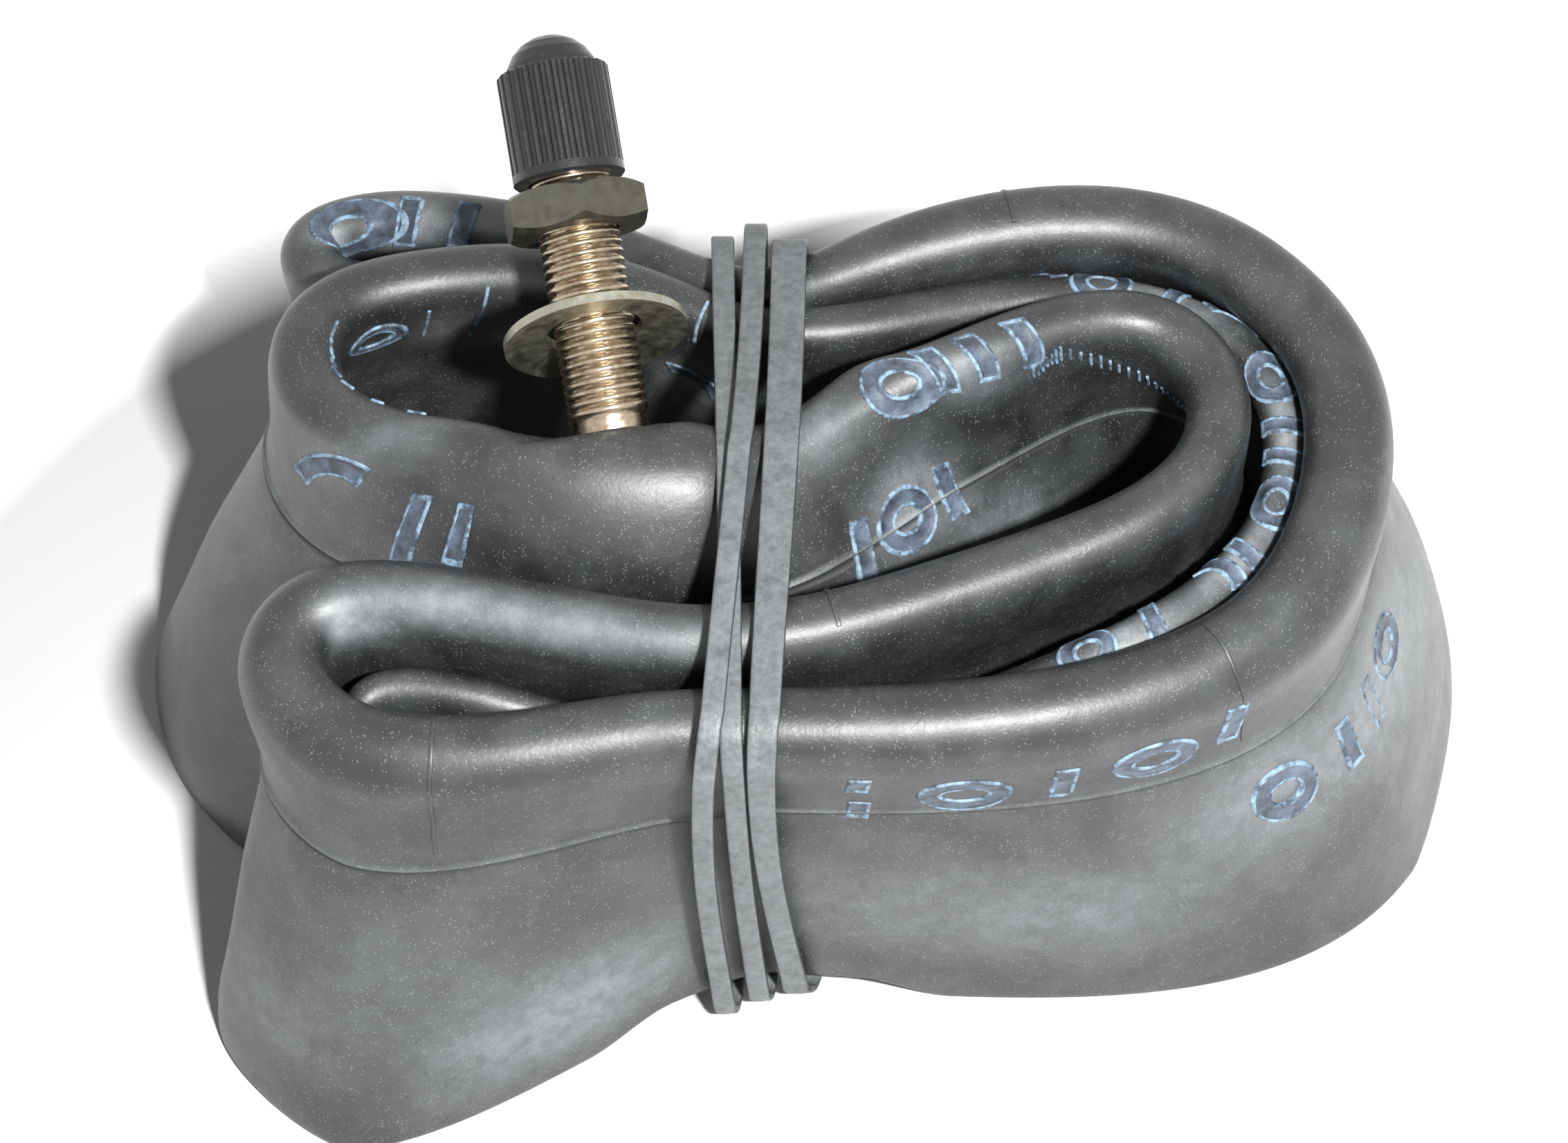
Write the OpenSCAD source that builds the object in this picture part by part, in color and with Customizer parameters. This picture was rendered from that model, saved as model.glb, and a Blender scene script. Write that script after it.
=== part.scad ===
// Folded bicycle inner tube with its valve, rim nut, washer and two rubber bands.
// The flattened tube stands on edge: the rim side is the rounded upper ridge, and
// the tread side is the lower edge that the bundle stands on.
// Millimetres, +Z up.

/* [Tube] */
// Flattened width of the tube, from its lower edge to its ridge
tube_width = 55; // [50:1:60]
// Thickness of the two rubber walls pressed together
flat_thickness = 2.0; // [1.6:0.1:2.2]
// Thickness of the folded lower edge
edge_thickness = 2.2; // [2:0.1:2.4]
// Width of the ridge where a full loop leaves the bands
ridge_width = 8.8; // [7:0.2:9]
// Distance below the ridge over which it narrows to the pressed walls
ridge_taper = 12; // [8:1:14]
// How far the lower edge spreads outward at the ends of the bundle
flare = 17; // [4:1:20]
// How far the bands pinch the lower edge up off the floor
pinch_lift = 3.6; // [3.4:0.1:5]

/* [Valve stem] */
// Diameter over the stem's thread
stem_diameter = 8; // [7.7:0.05:8.1]
// Length of the stem from the tube's ridge to its tip
stem_length = 36; // [34:0.5:39]
// Diameter of the flange bonded into the rubber foot
stem_flange_diameter = 8.8; // [8.4:0.1:9]
// Thickness of that flange
stem_flange_thickness = 0.8; // [0.6:0.1:1]
// Depth of the flange's underside below the tube's ridge
stem_flange_depth = 2.2; // [2:0.1:2.6]
// Height above the ridge where the plain root ends and the thread begins
stem_root_length = 2.4; // [1.6:0.2:3]
// Diameter of the plain root
stem_root_diameter = 7.3; // [7:0.1:7.5]
// Bevel at the stem's tip
tip_bevel = 0.4; // [0.2:0.1:0.5]
// Diameter of the air passage below the valve core
air_diameter = 3.9; // [3.8:0.1:4.1]
// How far the valve leans back from upright, in degrees
valve_lean = 61; // [58:1:68]
// How far the valve turns toward the left lobe, in degrees
valve_yaw = 11; // [8:1:14]

/* [Rubber foot] */
// Greatest diameter of the rubber foot
foot_diameter = 10.4; // [10:0.1:11.4]
// Depth of the foot's underside below the tube's ridge
foot_depth = 4; // [3.5:0.1:5]
// Height of the foot's collar above the tube's ridge
foot_height = 0.7; // [0.4:0.1:1.5]

/* [Valve core] */
// Diameter of the core's threaded plug
plug_diameter = 5.2; // [5.1:0.05:5.3]
// Length of the plug
plug_length = 4.1; // [3.8:0.1:4.5]
// Depth of the plug's top below the stem's tip
plug_depth = 0.9; // [0.6:0.1:1.2]
// Width of the key bar on top of the plug
plug_key_width = 2.3; // [2:0.1:2.6]
// Height of that key bar
plug_key_height = 1.6; // [1.2:0.1:2]
// Outer diameter of the core's barrel
barrel_diameter = 3.2; // [3.1:0.05:3.3]
// Bore of the barrel
barrel_bore = 2.3; // [2.2:0.05:2.4]
// Length of the barrel
barrel_length = 6; // [5.6:0.1:6.6]
// Thickness of the barrel's floor, which is the valve seat
barrel_floor = 0.8; // [0.6:0.1:1]
// Height of the gasket ring around the barrel
gasket_height = 1.8; // [1.5:0.1:2]
// Depth of the gasket's top below the plug's underside
gasket_drop = 0.3; // [0.2:0.1:0.5]
// Diameter of the core's pin
pin_diameter = 1.0; // [0.9:0.05:1.1]
// Depth of the pin's top below the stem's tip
pin_depth = 0.4; // [0.2:0.1:0.6]
// How far the pin can be pressed in
pin_travel = 1.0; // [0.8:0.1:1.2]
// Diameter of the pin's collar
collar_diameter = 2.0; // [1.9:0.05:2.1]
// Thickness of the pin's collar
collar_thickness = 0.5; // [0.4:0.1:0.6]
// Diameter of the boss that guides the spring
boss_diameter = 1.4; // [1.3:0.05:1.45]
// Spring wire diameter
spring_wire = 0.26; // [0.2:0.02:0.28]
// Number of coils in the spring
spring_coils = 5; // [4:1:6]
// Diameter of the cup under the barrel
cup_diameter = 3.0; // [2.8:0.05:3.1]
// Height of the cup
cup_height = 1.5; // [1.3:0.1:1.8]
// Wall of the cup
cup_wall = 0.25; // [0.2:0.05:0.3]
// Thickness of the seal ring in the cup
seal_thickness = 0.6; // [0.5:0.1:0.8]

/* [Cap] */
// Outer diameter of the cap over its ribs
cap_diameter = 11; // [10.6:0.1:11.6]
// Length of the cap from its mouth to the top of its dome
cap_length = 14.2; // [14:0.2:16]
// Length of stem inside the closed cap
cap_overlap = 10; // [9.8:0.1:10.6]
// Height of the domed end above the ribs
dome_height = 3.2; // [2.6:0.1:3.4]
// Diameter of the dome where it leaves the ribs
dome_diameter = 9.2; // [9:0.1:9.6]
// Diameter of the flat centre of the dome
dome_flat_diameter = 3.6; // [3:0.2:5]
// Height of the plain ring at the cap's mouth
cap_ring_height = 1.1; // [0.8:0.1:1.6]
// Number of grip ribs
cap_ribs = 30; // [24:1:36]
// Diameter of the groove between two ribs
rib_groove = 0.8; // [0.6:0.05:0.9]
// Thickness of the sealing disc in the cap
cap_seal_thickness = 1.2; // [0.8:0.1:1.5]
// Diameter of the sealing disc
cap_seal_diameter = 7.4; // [6.8:0.1:7.6]

/* [Rim nut] */
// Width of the hexagon over its corners
nut_width = 15.2; // [14:0.1:15.6]
// Height of the nut
nut_height = 3.9; // [3:0.1:4]
// Bevel of the nut's corners
nut_bevel = 0.7; // [0.3:0.1:0.7]
// Gap between the nut and the cap's mouth
nut_gap = 1.2; // [1:0.1:2]
// How far the nut is turned on the stem, in degrees
nut_turn = 94; // [90:1:120]

/* [Washer] */
// Outer diameter of the dished washer
washer_diameter = 18; // [17:0.5:18.5]
// Bore of the washer
washer_bore = 9.4; // [9.2:0.1:9.8]
// Thickness of the washer's metal
washer_thickness = 0.9; // [0.8:0.1:1.1]
// How far the washer's rim is dished toward the tube
washer_dish = 0.9; // [0.4:0.1:1]
// Distance of the washer from the tube's ridge
washer_place = 11.5; // [11.3:0.1:12]
// How far the loose washer tips on the stem, in degrees
washer_tilt = 15; // [10:1:15]

/* [Rubber bands] */
// Thickness of the bands
band_thickness = 1.0; // [0.8:0.1:1.1]
// Width of the double-turn band
left_band_width = 2.3; // [2:0.1:2.4]
// Width of the single band
right_band_width = 3.4; // [3:0.1:3.5]
// Distance between the two turns where they lie side by side
turn_spacing = 3.5; // [3.2:0.1:3.7]

/* [Hidden] */
eps = 0.01;
$fn = 64;

// Clearances
core_fit = 0.03;      // plug and gasket in the stem
pin_fit = 0.06;       // pin in the plug and in the barrel's floor
seat_gap = 0.03;      // seal under the barrel, collar under the plug
thread_fit = 0.06;    // nut and cap on the stem's thread
cap_seal_gap = 0.05;  // sealing disc between the stem's tip and the cap
band_gap = 0.3;       // bands on the tube, and one turn over the other
spring_gap = 0.07;    // spring in the barrel and over the boss

// Fold path, one row per point along the tube:
// [x, y, drop of the ridge, ridge share, lean angle, height where the lean starts]
// ridge share is the ridge width there over ridge_width.
fold_path = [
    // back run into the outer right loop
    [  0, 35.4,7.5, .50, 0, 40],
    [ 10, 39.2,4.5, .85, 0, 40],
    [ 22, 42.8,  3, 1.0, 0, 40],
    [ 34, 44.5,  3, 1.0, 0, 40],
    [ 45, 42.0,  3, 1.0, 0, 40],
    [ 53, 35.0,  3, 1.0, 0, 40],
    [ 58, 25.5,  3, 1.0, 0, 40],
    [ 58, 15.0,  3, 1.0, 0, 40],
    [ 55,  5.0,  4, 1.0, 0, 40],
    [ 49, -4.0,  5, 1.0, 0, 40],
    [ 39,-10.0,  5, 1.0, 0, 40],
    [ 27,-13.5,  5, 1.0, 0, 40],
    [ 13,-15.0,  5, .98, 0, 40],
    // front run into the front left lobe
    [  0,-15.0,  5, .90, 0, 40],
    [-10,-15.0,  5, .90, 0, 40],
    [-21,-17.5,  5, .95, 0, 40],
    [-32,-18.5,  5, .95, 0, 40],
    [-41,-15.5,  5, .95, 0, 40],
    [-46, -8.0,  4, .90, 0, 40],
    [-42, -1.0,  4, .90, 0, 40],
    [-31, -1.5,  4, .88, 0, 40],
    [-18, -4.4,  4, .85, 0, 40],
    [ -6, -6.8,  4, .80, 0, 40],
    [  6, -5.4,  4, .80, 0, 40],
    // inner right loop
    [ 18, -1.0,  4, .80, 0, 40],
    [ 29,  3.2,  4, .80, 0, 40],
    [ 38,  7.0,  3, .76, 0, 40],
    [ 44.5, 13.5,  3, .72, 0, 40],
    [ 46, 22.0,  3, .72, 0, 40],
    [ 42, 28.5,  3, .78, -2, 34],
    [ 36, 28.5,  2, .80, -8, 30],
    [ 30, 22.0,  0, .80,-20, 28],
    [ 25, 14.0, -2, .82,-33, 27],
    [ 18,  8.0, -3, .85,-42, 30],
    [  9,  4.0, -3, .88,-54, 36],
    // run that carries the valve
    [ -2,  2.5, -3, .92,-66, 42],
    [-13,  2.5, -3,1.05,-71, 44],
    [-23,  4.0, -3,1.00,-68, 44],
    [-32,  8.0, -1, .92,-45, 42],
    // left lobe
    [-39, 13.5,  2, .88,-18, 40],
    [-44.5, 20.5,  3, .84, 0, 40],
    [-46, 28.5,  3, .80, 0, 40],
    [-42, 34.8,  4, .80, 0, 40],
    [-33, 37.8,  5, .80, 0, 40],
    [-22, 38.6,  5, .80, 0, 40],
    [-11, 36.2,  6, .68, 0, 40],
    [ -1, 30.6,6.5, .48, 0, 40],
    // middle right loop
    [ 10, 31.8,6.5, .66, 0, 40],
    [ 22, 36.3,  8, .66, 0, 40],
    [ 33, 37.8,  9, .62, 0, 40],
    [ 42, 35.6,  9, .60, 0, 40],
    [ 49.5, 30.0,  9, .60, 0, 40],
    [ 51.7, 23.0,  9, .58, 0, 40],
    [ 51.7, 15.5,  9, .58, 0, 40],
    [ 49, 7.5,  9, .60, 0, 40],
    [ 43,  1.0,  9, .60, 0, 40],
    [ 36, -3.6,  9, .55, 0, 40],
    [ 26, -7.0, 11, .45, 0, 40],
    [ 13, -9.0, 16, .30, 0, 40],
    [  0, -9.5, 19, .25, 0, 40],
    // small inner fold of the front left lobe
    [-12, -9.6, 16, .32, 0, 40],
    [-23, -9.0, 11, .42, 0, 40],
    [-32, -7.2,  10, .44, 0, 40],
    [-37.5, -8.0,  10, .38, 0, 40],
    [-37,-12.2, 11, .36, 0, 40],
    [-31,-12.4, 13, .34, 0, 40],
    [-22,-12.8, 17, .28, 0, 40],
    [-12,-11.8, 19, .25, 0, 40],
    [  0,-12.2, 20, .25, 0, 40],
    // hidden loop between the outer and the middle one
    [ 13,-12.0, 20, .25, 0, 40],
    [ 26,-10.2, 20, .25, 0, 40],
    [ 37, -6.8, 20, .25, 0, 40],
    [ 45, -1.4, 20, .25, 0, 40],
    [ 52,  6.5, 20, .25, 0, 40],
    [ 55,15.2, 20, .25, 0, 40],
    [ 55,24.6, 20, .25, 0, 40],
    [ 51.2, 33.0, 20, .25, 0, 40],
    [ 43.5,38.9, 20, .25, 0, 40],
    [ 33.5,41.2, 20, .25, 0, 40],
    [ 22.5,40.0, 20, .25, 0, 40],
    [ 11, 35.9, 20, .25, 0, 40],
    [  0, 33.1, 20, .25, 0, 40],
    // back left lobe
    [-11, 39.4, 20, .25, 0, 40],
    [-22, 42.4, 18, .30, 0, 40],
    [-33, 42.5, 15, .42, 0, 40],
    [-41, 41.6, 13, .58, 0, 40],
    [-46.5, 42.4, 12, .68, 0, 40],
    [-47, 48.0, 12, .72, 0, 40],
    [-41, 49.8, 11, .75, 0, 40],
    [-33, 49.0, 10, .75, 0, 40],
    [-22, 46.8,9.5, .74, 0, 40],
    [-11, 42.2,8.5, .62, 0, 40]
];
path_count = len(fold_path);
rings_per_point = 3;
valve_row = 36.23;    // place of the valve along the fold path

// Shares and shape numbers of the section
edge_flat_share = 0.3;   // flat underside of the lower edge, over its thickness
edge_blend = 3;          // height where the edge reaches the pressed walls, over its thickness
shoulder_drop = 0.45;    // where the taper swells, over ridge_taper
shoulder_share = 0.55;   // how much of the swell is reached there
crown_drop = 0.4;        // corner below the top, over the ridge's half width
crown_share = 0.8;       // its half width, over the ridge's
bend_share = 0.35;       // bend radius of a leaning wall, over the leaning height
bend_least = 4;

// Shape of the spreading lower edge: distances from the waist and shares of flare
reach_right = 52;
reach_left = 38;
reach_power = 1.4;
left_power = 1.1;
front_edge = -18;
front_depth = 30;
back_edge = 8;
back_depth = 40;
behind_edge = 26;
behind_depth = 18;
right_spread = 1.08;
right_back = 0.45;
right_front = 0.5;
left_spread = 1.5;
left_front_cut = 1.15;
left_behind_cut = 0.95;
left_back = 0.4;
left_front = 1.0;
waist_front = 0.22;
waist_back = 0.1;
spread_top = 0.7;        // the spread dies out this share of ridge_width below the ridge

// Waist pinch
pinch_half_width = 8.5;
pinch_run = 8;
pinch_height = 16;

function bspline_weights(t) = [
    pow(1 - t, 3) / 6,
    (3*t*t*t - 6*t*t + 4) / 6,
    (-3*t*t*t + 3*t*t + 3*t + 1) / 6,
    t*t*t / 6];
function bspline_slopes(t) = [
    -pow(1 - t, 2) / 2,
    (3*t*t - 4*t) / 2,
    (-3*t*t + 2*t + 1) / 2,
    t*t / 2];
// Closed curve through a table of rows, s counts rows.
function row_of(table, i) = table[(i + len(table)) % len(table)];
function blend_rows(table, i, w) = w[0]*row_of(table, i - 1) + w[1]*row_of(table, i)
    + w[2]*row_of(table, i + 1) + w[3]*row_of(table, i + 2);
function curve_at(table, s) = blend_rows(table, floor(s), bspline_weights(s - floor(s)));
function slope_at(table, s) = blend_rows(table, floor(s), bspline_slopes(s - floor(s)));

function clamp(t, low, high) = min(high, max(low, t));
function smooth(t) = let(c = clamp(t, 0, 1)) c*c*(3 - 2*c);

// Half thickness and height of the section's corners, lower edge first.
function half_section(width, ridge) = [
    [0, edge_thickness*edge_flat_share],
    [edge_thickness/2, edge_thickness/2],
    [edge_thickness*edge_blend, flat_thickness/2],
    [width - ridge - ridge_taper, flat_thickness/2],
    [width - ridge - ridge_taper*shoulder_drop, flat_thickness/2 + (ridge - flat_thickness/2)*shoulder_share],
    [width - ridge, ridge],
    [width - ridge*crown_drop, ridge*crown_share]];

// A point at height v up the section and u across it, with the upper part leaning over.
function lean_point(v, u, angle, start) =
    let(a = abs(angle), side = sign(angle),
        bend_radius = max(bend_least, (tube_width - start)*bend_share),
        bend_length = bend_radius*a*PI/180,
        over = v - start)
    (a < eps || over <= 0) ? [u, v] :
    over < bend_length ?
        let(b = over/bend_radius*180/PI)
        [side*bend_radius*(1 - cos(b)) + u*cos(b), start + bend_radius*sin(b) - side*u*sin(b)] :
        [side*(bend_radius*(1 - cos(a)) + (over - bend_length)*sin(a)) + u*cos(a),
         start + bend_radius*sin(a) + (over - bend_length)*cos(a) - side*u*sin(a)];

// Spread of the lower edge, 1 at the floor and 0 at the ridge.
function spread(z) = let(t = min(1, z/(tube_width - ridge_width*spread_top))) 1 - (t + smooth(t))/2;
// Sideways and fore-and-aft travel of the lower edge at a place in the bundle.
function flare_vector(x, y) =
    let(away = pow(min(1, abs(x)/reach_right), reach_power),
        beside = pow(min(1, abs(x)/reach_left), left_power),
        front = 1 - smooth((y - front_edge)/front_depth),
        back = smooth((y - back_edge)/back_depth),
        behind = smooth((y - behind_edge)/behind_depth),
        waist = waist_back*back - waist_front*front)
    x > 0 ? flare*[right_spread*away, away*(right_back*back - right_front*front) + waist]
          : flare*[-away*(left_spread - left_front_cut*front - left_behind_cut*behind),
                   beside*(left_back*back - left_front*(1 - back)) + waist];
function pinch(x) = pinch_lift*(1 - smooth((abs(x) - pinch_half_width)/pinch_run));
function flared(p) = let(f = flare_vector(p[0], p[1]), k = spread(p[2]),
        low = max(0, 1 - p[2]/pinch_height))
    [p[0] + f[0]*k, p[1] + f[1]*k, p[2] + pinch(p[0])*low*low];

// The point of the tube at place s along the path, v up its section and u across it.
function section_point(s, v, u) =
    let(r = curve_at(fold_path, s), d = slope_at(fold_path, s),
        n = [-d[1], d[0]] / norm([d[0], d[1]]),
        q = lean_point(v, u, r[4], r[5]))
    flared([r[0] + n[0]*q[0], r[1] + n[1]*q[0], q[1]]);
function ridge_height(s) = tube_width - curve_at(fold_path, s)[2];
function ridge_half(s) = ridge_width/2*curve_at(fold_path, s)[3];

function tube_ring(s) =
    let(width = ridge_height(s),
        corners = half_section(width, ridge_half(s)),
        last = len(corners) - 1,
        flat = concat(corners, [[width, 0]],
            [for (i = [last:-1:0]) [corners[i][0], -corners[i][1]]]))
    [for (c = flat) section_point(s, c[0], c[1])];
tube_rings = [for (i = [0:path_count*rings_per_point - 1]) tube_ring(i/rings_per_point)];

// The part stands at the centre of the tube's outline.
all_x = [for (r = tube_rings) for (p = r) p[0]];
all_y = [for (r = tube_rings) for (p = r) p[1]];
centre = [(min(all_x) + max(all_x))/2, (min(all_y) + max(all_y))/2, 0];

module closed_sweep(rings) {
    n = len(rings);
    m = len(rings[0]);
    polyhedron(
        points = [for (r = rings) for (p = r) p],
        faces = [for (i = [0:n - 1]) for (j = [0:m - 1])
            let(a = i*m + j, b = i*m + (j + 1) % m,
                c = ((i + 1) % n)*m + (j + 1) % m, d = ((i + 1) % n)*m + j)
            each [[a, c, b], [a, d, c]]],
        convexity = 10);
}
module open_sweep(rings) {
    n = len(rings);
    m = len(rings[0]);
    polyhedron(
        points = [for (r = rings) for (p = r) p],
        faces = concat(
            [[for (j = [m - 1:-1:0]) j]],
            [[for (j = [0:m - 1]) (n - 1)*m + j]],
            [for (i = [0:n - 2]) for (j = [0:m - 1])
                let(a = i*m + j, b = i*m + (j + 1) % m,
                    c = (i + 1)*m + (j + 1) % m, d = (i + 1)*m + j)
                each [[a, b, c], [a, c, d]]]),
        convexity = 10);
}

module tube() {
    color("dimgray") translate(-centre) closed_sweep(tube_rings);
}

// ---- Valve, in its own frame: the origin is on the tube's ridge, z runs up the stem ----
valve_foot_point = section_point(valve_row, ridge_height(valve_row), 0);
module at_valve() {
    translate(valve_foot_point - centre) rotate([-valve_lean, 0, valve_yaw]) children();
}
stem_radius = stem_diameter/2;
root_radius = stem_root_diameter/2;
air_radius = air_diameter/2;
core_hole_radius = plug_diameter/2 + core_fit;
plug_top = stem_length - plug_depth;
plug_bottom = plug_top - plug_length;
gasket_top = plug_bottom - gasket_drop;
gasket_bottom = gasket_top - gasket_height;
barrel_bottom = plug_bottom - barrel_length;
pin_hole_radius = pin_diameter/2 + pin_fit;
foot_lip = 0.3;

module valve_foot() {
    rubber = foot_diameter/2;
    color("dimgray") at_valve() rotate_extrude() polygon([
        [air_radius, -foot_depth],
        [rubber*0.8, -foot_depth],
        [rubber*0.95, -foot_depth*0.8],
        [rubber, -foot_depth*0.5],
        [rubber*0.98, -foot_depth*0.3],
        [rubber*0.92, -foot_depth*0.1],
        [root_radius + foot_lip*2, foot_height*0.4],
        [root_radius + foot_lip, foot_height],
        [root_radius, foot_height],
        [root_radius, stem_flange_thickness - stem_flange_depth],
        [stem_flange_diameter/2, stem_flange_thickness - stem_flange_depth],
        [stem_flange_diameter/2, -stem_flange_depth],
        [air_radius, -stem_flange_depth]]);
}

module valve_stem() {
    color("silver") at_valve() rotate_extrude() polygon([
        [air_radius, -stem_flange_depth],
        [stem_flange_diameter/2, -stem_flange_depth],
        [stem_flange_diameter/2, stem_flange_thickness - stem_flange_depth],
        [root_radius, stem_flange_thickness - stem_flange_depth],
        [root_radius, stem_root_length],
        [stem_radius, stem_root_length + stem_radius - root_radius],
        [stem_radius, stem_length - tip_bevel],
        [stem_radius - tip_bevel, stem_length],
        [core_hole_radius, stem_length],
        [core_hole_radius, gasket_top],
        [air_radius, gasket_bottom]]);
}

module core_plug() {
    color("goldenrod") at_valve() difference() {
        translate([0, 0, plug_bottom]) cylinder(h = plug_length, r = plug_diameter/2);
        translate([0, 0, plug_bottom - eps]) cylinder(h = plug_length + 2*eps, r = pin_hole_radius);
        for (side = [-1, 1])
            translate([side*(plug_key_width + plug_diameter)/2, 0, plug_top - plug_key_height/2 + eps])
                cube([plug_diameter, plug_diameter + 1, plug_key_height + 2*eps], center = true);
    }
}

module core_barrel() {
    color("gold") at_valve() rotate_extrude() polygon([
        [pin_hole_radius, barrel_bottom],
        [barrel_diameter/2, barrel_bottom],
        [barrel_diameter/2, plug_bottom],
        [barrel_bore/2, plug_bottom],
        [barrel_bore/2, barrel_bottom + barrel_floor],
        [pin_hole_radius, barrel_bottom + barrel_floor]]);
}

module core_gasket() {
    color("firebrick") at_valve() rotate_extrude() polygon([
        [barrel_diameter/2, gasket_bottom],
        [air_radius - core_fit, gasket_bottom],
        [plug_diameter/2, gasket_top],
        [barrel_diameter/2, gasket_top]]);
}

// Spring between the barrel's floor and the pin's collar. It stands on the floor, and
// the boss under the collar reaches into its top coil, so the pressed pin clears it.
collar_top = plug_bottom - seat_gap;
collar_bottom = collar_top - collar_thickness;
spring_low = barrel_bottom + barrel_floor + spring_wire/2 + eps;
spring_high = collar_bottom - pin_travel - spring_wire/2 - spring_gap;
spring_radius = barrel_bore/2 - spring_gap - spring_wire/2;
boss_bottom = spring_high - spring_wire;
spring_sides = 8;
spring_steps = 12;
function spring_ring(t) =
    let(angle = 360*spring_coils*t, rise = (spring_high - spring_low)/(spring_coils*2*PI*spring_radius),
        tilt = atan(rise), out = [cos(angle), sin(angle), 0],
        across = [sin(angle)*sin(tilt), -cos(angle)*sin(tilt), cos(tilt)])
    [for (k = [0:spring_sides - 1]) let(b = 360*k/spring_sides)
        spring_radius*out + [0, 0, spring_low + (spring_high - spring_low)*t]
        + spring_wire/2*(cos(b)*out + sin(b)*across)];
module core_spring() {
    count = spring_coils*spring_steps;
    color("lightgray") at_valve() open_sweep([for (i = [0:count]) spring_ring(i/count)]);
}

seal_top = barrel_bottom - seat_gap;
cup_bottom = seal_top - cup_height;
pin_bottom = cup_bottom - 0.4;
module core_pin() {
    radius = pin_diameter/2;
    color("khaki") at_valve() rotate_extrude() polygon([
        [0, pin_bottom],
        [radius, pin_bottom],
        [radius, boss_bottom],
        [boss_diameter/2, boss_bottom],
        [boss_diameter/2, collar_bottom],
        [collar_diameter/2, collar_bottom],
        [collar_diameter/2, collar_top],
        [radius, collar_top],
        [radius, stem_length - pin_depth],
        [0, stem_length - pin_depth]]);
}
module core_cup() {
    color("darkkhaki") at_valve() rotate_extrude() polygon([
        [pin_diameter/2, cup_bottom],
        [cup_diameter/2, cup_bottom],
        [cup_diameter/2, seal_top - seat_gap],
        [cup_diameter/2 - cup_wall, seal_top - seat_gap],
        [cup_diameter/2 - cup_wall, seal_top - seal_thickness],
        [pin_diameter/2, seal_top - seal_thickness]]);
}
module core_seal() {
    color("darkred") at_valve() rotate_extrude() polygon([
        [pin_diameter/2, seal_top - seal_thickness],
        [cup_diameter/2 - cup_wall, seal_top - seal_thickness],
        [cup_diameter/2 - cup_wall, seal_top],
        [pin_diameter/2, seal_top]]);
}

// Cap screwed onto the stem's tip
cap_mouth = stem_length - cap_overlap;
cap_top = cap_mouth + cap_length;
cap_ceiling = stem_length + cap_seal_thickness + 2*cap_seal_gap;
module valve_cap() {
    outer = cap_diameter/2;
    dome = dome_diameter/2;
    flat = dome_flat_diameter/2;
    shoulder = cap_top - dome_height;
    color("#222222") at_valve() difference() {
        rotate_extrude() polygon([
            [stem_radius + thread_fit, cap_mouth],
            [outer - 0.25, cap_mouth],
            [outer, cap_mouth + 0.25],
            [outer, shoulder - 0.25],
            [outer - 0.25, shoulder],
            [dome, shoulder],
            [dome - (dome - flat)*0.08, shoulder + dome_height*0.2],
            [dome - (dome - flat)*0.32, shoulder + dome_height*0.56],
            [dome - (dome - flat)*0.64, shoulder + dome_height*0.83],
            [flat, cap_top],
            [0, cap_top],
            [0, cap_ceiling],
            [stem_radius + thread_fit, cap_ceiling]]);
        for (i = [0:cap_ribs - 1]) rotate([0, 0, i*360/cap_ribs])
            translate([outer + rib_groove*0.1, 0, cap_mouth + cap_ring_height])
                cylinder(h = cap_length, r = rib_groove/2, $fn = 16);
    }
}
module cap_seal() {
    color("dimgray") at_valve() translate([0, 0, stem_length + cap_seal_gap])
        cylinder(h = cap_seal_thickness, r = cap_seal_diameter/2);
}

nut_bottom = cap_mouth - nut_gap - nut_height;
module rim_nut() {
    across_flats = nut_width*cos(30);
    color("dimgray") at_valve() translate([0, 0, nut_bottom]) rotate([0, 0, nut_turn]) difference() {
        intersection() {
            cylinder(h = nut_height, r = nut_width/2, $fn = 6);
            rotate_extrude() polygon([
                [0, 0], [across_flats/2, 0],
                [nut_width/2 + eps, nut_bevel], [nut_width/2 + eps, nut_height - nut_bevel],
                [across_flats/2, nut_height], [0, nut_height]]);
        }
        translate([0, 0, -1]) cylinder(h = nut_height + 2, r = stem_radius + thread_fit);
    }
}

module rim_washer() {
    bore = washer_bore/2;
    rim = washer_diameter/2;
    bend = bore + (rim - bore)*0.35;
    color("olive") at_valve() translate([0, 0, washer_place]) rotate([-washer_tilt, 0, 0])
        translate([0, 0, -washer_thickness/2]) rotate_extrude() polygon([
            [bore, 0],
            [bend, 0],
            [(bend + rim)/2, -washer_dish*0.35],
            [rim, -washer_dish],
            [rim, washer_thickness - washer_dish],
            [(bend + rim)/2, washer_thickness - washer_dish*0.35],
            [bend, washer_thickness],
            [bore, washer_thickness]]);
}

// ---- Rubber bands: a belt around the strands' ridges and lower edges at the waist ----
// Each rest is [y, z, radius] of a round edge of the tube at place s of the path.
function ridge_rest(s) = let(p = section_point(s, ridge_height(s) - ridge_half(s), 0))
    [p[1], p[2], ridge_half(s)];
function edge_rest(s) = let(p = section_point(s, edge_thickness/2, 0)) [p[1], p[2], edge_thickness/2];
belt_steps = 72;
corner_crowding = 8;   // millimetres of length counted for each radian of turn
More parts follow.
